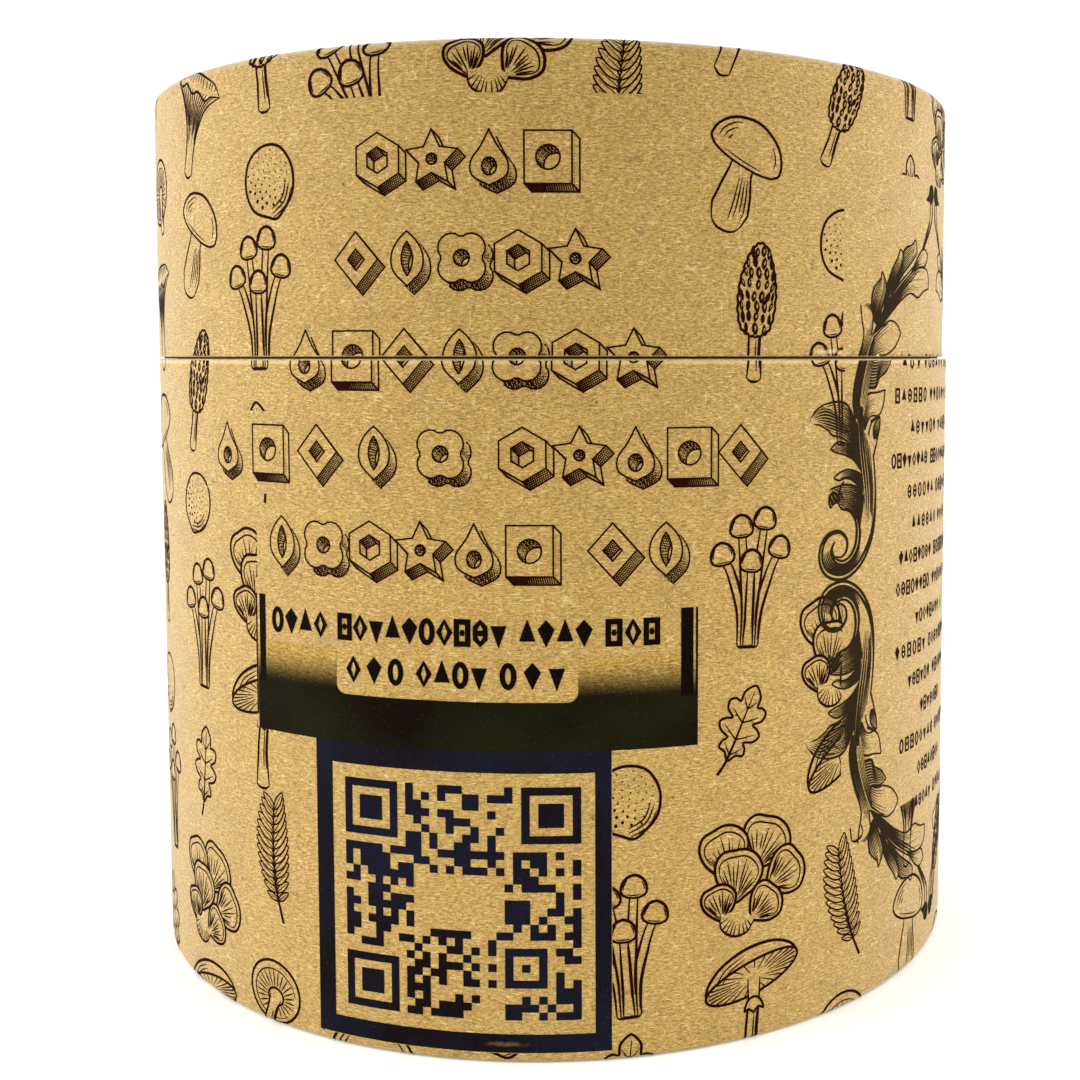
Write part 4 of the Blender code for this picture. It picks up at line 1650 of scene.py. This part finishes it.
    # the leaves on the left, under one another
    lobe(
        d, [(52.6, 95.4), (51.2, 98), (49.4, 100), (47, 100.4), (44.5, 100), (42.5, 99), (41.2, 97.2)],
        [(53, 91), (51, 93), (48.5, 94.5), (46.2, 95), (45.3, 95.8), (43.4, 96.7), (41.2, 97.2)], 15,
        (0.6, 0.95), 0.46
    )
    shadow(
        d,
        [
            (41.2, 97.2), (42.6, 98.8), (44.6, 99.4), (46.8, 98.6), (48.8, 97.0), (50.2, 95.2), (48, 95.6),
            (45.6, 96.2), (43.4, 96.9)
        ],
        6
    )
    lobe(
        d, [(53.3, 90.8), (51, 92.8), (48.5, 93.9), (47, 93.7), (45.8, 92.8)],
        [(53.6, 88.6), (51.5, 90.7), (49, 91.8), (47.2, 92.2), (45.8, 92.8)], 8, (0.8, 1.0), 0.46
    )
    lobe(
        d, [(53.8, 88.2), (52.3, 88.9), (50, 89.4), (48, 89), (46.6, 88.2)],
        [(53.8, 85.4), (51.5, 87.3), (49.5, 88), (47.8, 87.7), (46.6, 88.2)], 8, (0.6, 0.95), 0.44
    )
    lobe(
        d, [(54.3, 84.6), (52, 86.5), (49.5, 87), (47, 86.7), (45.7, 86.2), (45.6, 84.6), (45.9, 83.4)],
        [(53.2, 80), (52, 81.6), (50.8, 82.4), (49.5, 82.9), (48.4, 83.1), (47.4, 84.2), (45.9, 83.4)], 15,
        (0.65, 1.0), 0.44
    )
    shadow(
        d,
        [(45.7, 86.2), (47.4, 86.3), (48.4, 85.4), (48.2, 84.3), (47.2, 84.1), (45.9, 83.4), (45.5, 84.8)],
        4
    )
    # the dark ribbon up the stem and the stem's pale side
    stem = through(
        [(53.8, 74.5), (55.8, 77.2), (56.9, 80.4), (57.3, 84.2), (57.1, 88.0), (56.5, 91.5), (56.6, 93.4)]
    )
    ribbon = through(
        [(54.8, 78.4), (54.5, 82), (54.0, 85.5), (53.2, 89.5), (52.6, 93), (52.2, 96.5), (51.9, 99.5)]
    )
    far = through(
        [(55.4, 78.8), (55.9, 82.5), (55.7, 87), (54.9, 91), (54.2, 94.5), (53.8, 97), (53.6, 99.5)]
    )
    bare(d, far[:-6] + stem[::-1])
    blot(d, ribbon + far[::-1])
    grain(d, ribbon, far, 3, (0.85, 1.0), 0.34, bare)
    for k in range(3):
        first = [at(far, t / 12) for t in range(2, 11)]
        second = [at(stem, 0.2 + t / 15) for t in range(2, 11)]
        veinBetween(d, first, second, 0.16 + 0.2 * k, (0.14, 0.24, 0.14))
    # the volute
    outer = through(
        [
            (47.3, 75.5), (48.5, 75.3), (49.7, 76.2), (49.9, 77.8), (48.8, 79.1), (47.2, 79.5),
            (45.3, 78.9), (44.1, 77.3), (43.9, 75.2), (44.9, 73.3), (46.8, 72.3), (49.2, 72.1),
            (51.6, 72.9), (53.8, 74.5), (55.8, 77.2), (56.9, 80.4), (57.3, 84.2), (57.1, 88.0), (56.6, 91.5)
        ],
        0.4
    )
    inner = through(
        [
            (47.0, 77.9), (46.3, 76.8), (46.7, 75.4), (48.0, 74.5), (49.6, 74.4), (51.3, 75.3), (52.4, 77),
            (52.7, 79.2), (52.1, 81.2), (50.6, 82.6), (48.6, 83.1)
        ],
        0.4
    )
    pen(d, outer, (0.25, 0.5, 0.7, 0.9, 1.1, 1.3, 1.4, 1.3, 1.2, 1.0, 0.7, 0.45, 0.38, 0.34))
    pen(d, inner, (0.3, 0.7, 1.0, 1.2, 1.45, 1.5, 1.2, 0.7, 0.3))
    for line, start, end in ((outer, 0.26, 0.62), (inner, 0.18, 0.78)):
        pen(d, span(line, start, end, 36), 0.32, mark=bare)
    for k in range(6):
        first, second = span(outer, 0.3, 0.58, 14), span(inner, 0.06, 0.62, 14)
        veinBetween(d, first, second, 0.15 + 0.14 * k, (0.14, 0.34, 0.4, 0.32, 0.12))
    # the bud at the top
    bud = through(
        [
            (77.2, 134.8), (78.6, 135.9), (79.4, 137.4), (81.2, 137.6), (81.8, 135.6), (80.6, 134.4),
            (79, 134.6)
        ],
        0.4, True
    )
    blot(d, bud[::-1])


def printScroll():
    quarter = flatten(drawn(drawScrollQuarter))
    u, v = scroll["middle"]
    left = joined(quarter, mirrored(quarter, 1, v))
    printOn("scroll", joined(left, mirrored(left, 0, u)), scrollInk, scroll["proudMm"])


printScroll()


# the stage, the lights and the camera

stageLook = {"floor": "#FFFEFD", "glow": 0.1, "reachM": 6.0, "roughness": 0.6, "card": "#161616"}
lightRig = {
    # light, its power, its size and place in m, and what it looks at
    "lights": (
        ("leftSoftbox", 4.5, (0.5, 0.7), (-0.62, -0.10, 0.22), (0.0, 0.0, 0.08)),
        ("rightSoftbox", 3.6, (0.5, 0.7), (0.62, -0.10, 0.22), (0.0, 0.0, 0.08)),
        # a low fill from the front, as the bright table in front of the box gives it
        ("frontFill", 0.07, (0.16, 0.05), (-0.01, -0.215, 0.03), (-0.01, 0.0, 0.03)),
    ),
    "skyStrength": 1.08,
    "shadeM": (0.0, -0.62, 0.50), "shadeSize": (0.80, 0.94),   # a dark card behind the camera
}
photoView = {
    "eyeM": (0.0, -0.28416, 0.10731),
    "turnDeg": 3.1683,         # towards +X
    "downDeg": 3.8979,
    "lensMm": 46.92,
    "imagePx": 1080,
    "axisPx": (637.1, 454.04),   # where the lens looks in the picture, which was cropped off centre
}


def buildStage():
    floor = newPiece("floor")
    shape = bmesh.new()
    bmesh.ops.create_circle(shape, cap_ends=True, segments=96, radius=stageLook["reachM"])
    shape.to_mesh(floor.data)
    shape.free()
    material, add = newMaterial("paleFloor")
    white = (1.0, 1.0, 1.0, 1.0)
    glow = {"Emission Color": white, "Emission Strength": stageLook["glow"]}
    endMaterial(add, linear(stageLook["floor"]), {"Roughness": stageLook["roughness"], **glow})
    floor.data.materials.append(material)


def buildShade():
    card = newPiece("darkCard")
    wide, tall = (size / 2 for size in lightRig["shadeSize"])
    x, y, z = lightRig["shadeM"]
    points = [(u, y, v) for u, v in box(x - wide, x + wide, z - tall, z + tall)]
    card.data.from_pydata(points, [], [(3, 2, 1, 0)])
    material, add = newMaterial("blackCard")
    endMaterial(add, linear(stageLook["card"]), {})
    card.data.materials.append(material)
    card.visible_camera = False


def buildLights():
    world = bpy.data.worlds.new("studio")
    bpy.context.scene.world = world
    world.use_nodes = True
    back = world.node_tree.nodes["Background"]
    back.inputs["Color"].default_value = (1.0, 1.0, 1.0, 1.0)
    back.inputs["Strength"].default_value = lightRig["skyStrength"]
    for name, power, size, place, aim in lightRig["lights"]:
        light = bpy.data.lights.new(name, "AREA")
        light.shape, light.energy = "RECTANGLE", power
        light.size, light.size_y = size
        lamp = newPiece(name, light)
        lamp.location = place
        lamp.rotation_euler = (Vector(aim) - lamp.location).to_track_quat("-Z", "Y").to_euler()


def buildCamera():
    s = photoView
    camera = bpy.data.cameras.new("photoCamera")
    camera.sensor_width, camera.lens = 36.0, s["lensMm"]
    middle = s["imagePx"] / 2
    camera.shift_x = (middle - s["axisPx"][0]) / s["imagePx"]
    camera.shift_y = (s["axisPx"][1] - middle) / s["imagePx"]
    camera.clip_start, camera.clip_end = 0.01, 20.0
    eye = newPiece("photoCamera", camera)
    eye.location = s["eyeM"]
    eye.rotation_euler = (math.radians(90 - s["downDeg"]), 0.0, math.radians(-s["turnDeg"]))
    bpy.context.scene.camera = eye


buildStage()
buildShade()
buildLights()
buildCamera()
bpy.context.scene.view_settings.view_transform = "Standard"

for shared in (baseShared, lidShared):
    bpy.data.objects.remove(shared["Outline"])

print("finished")
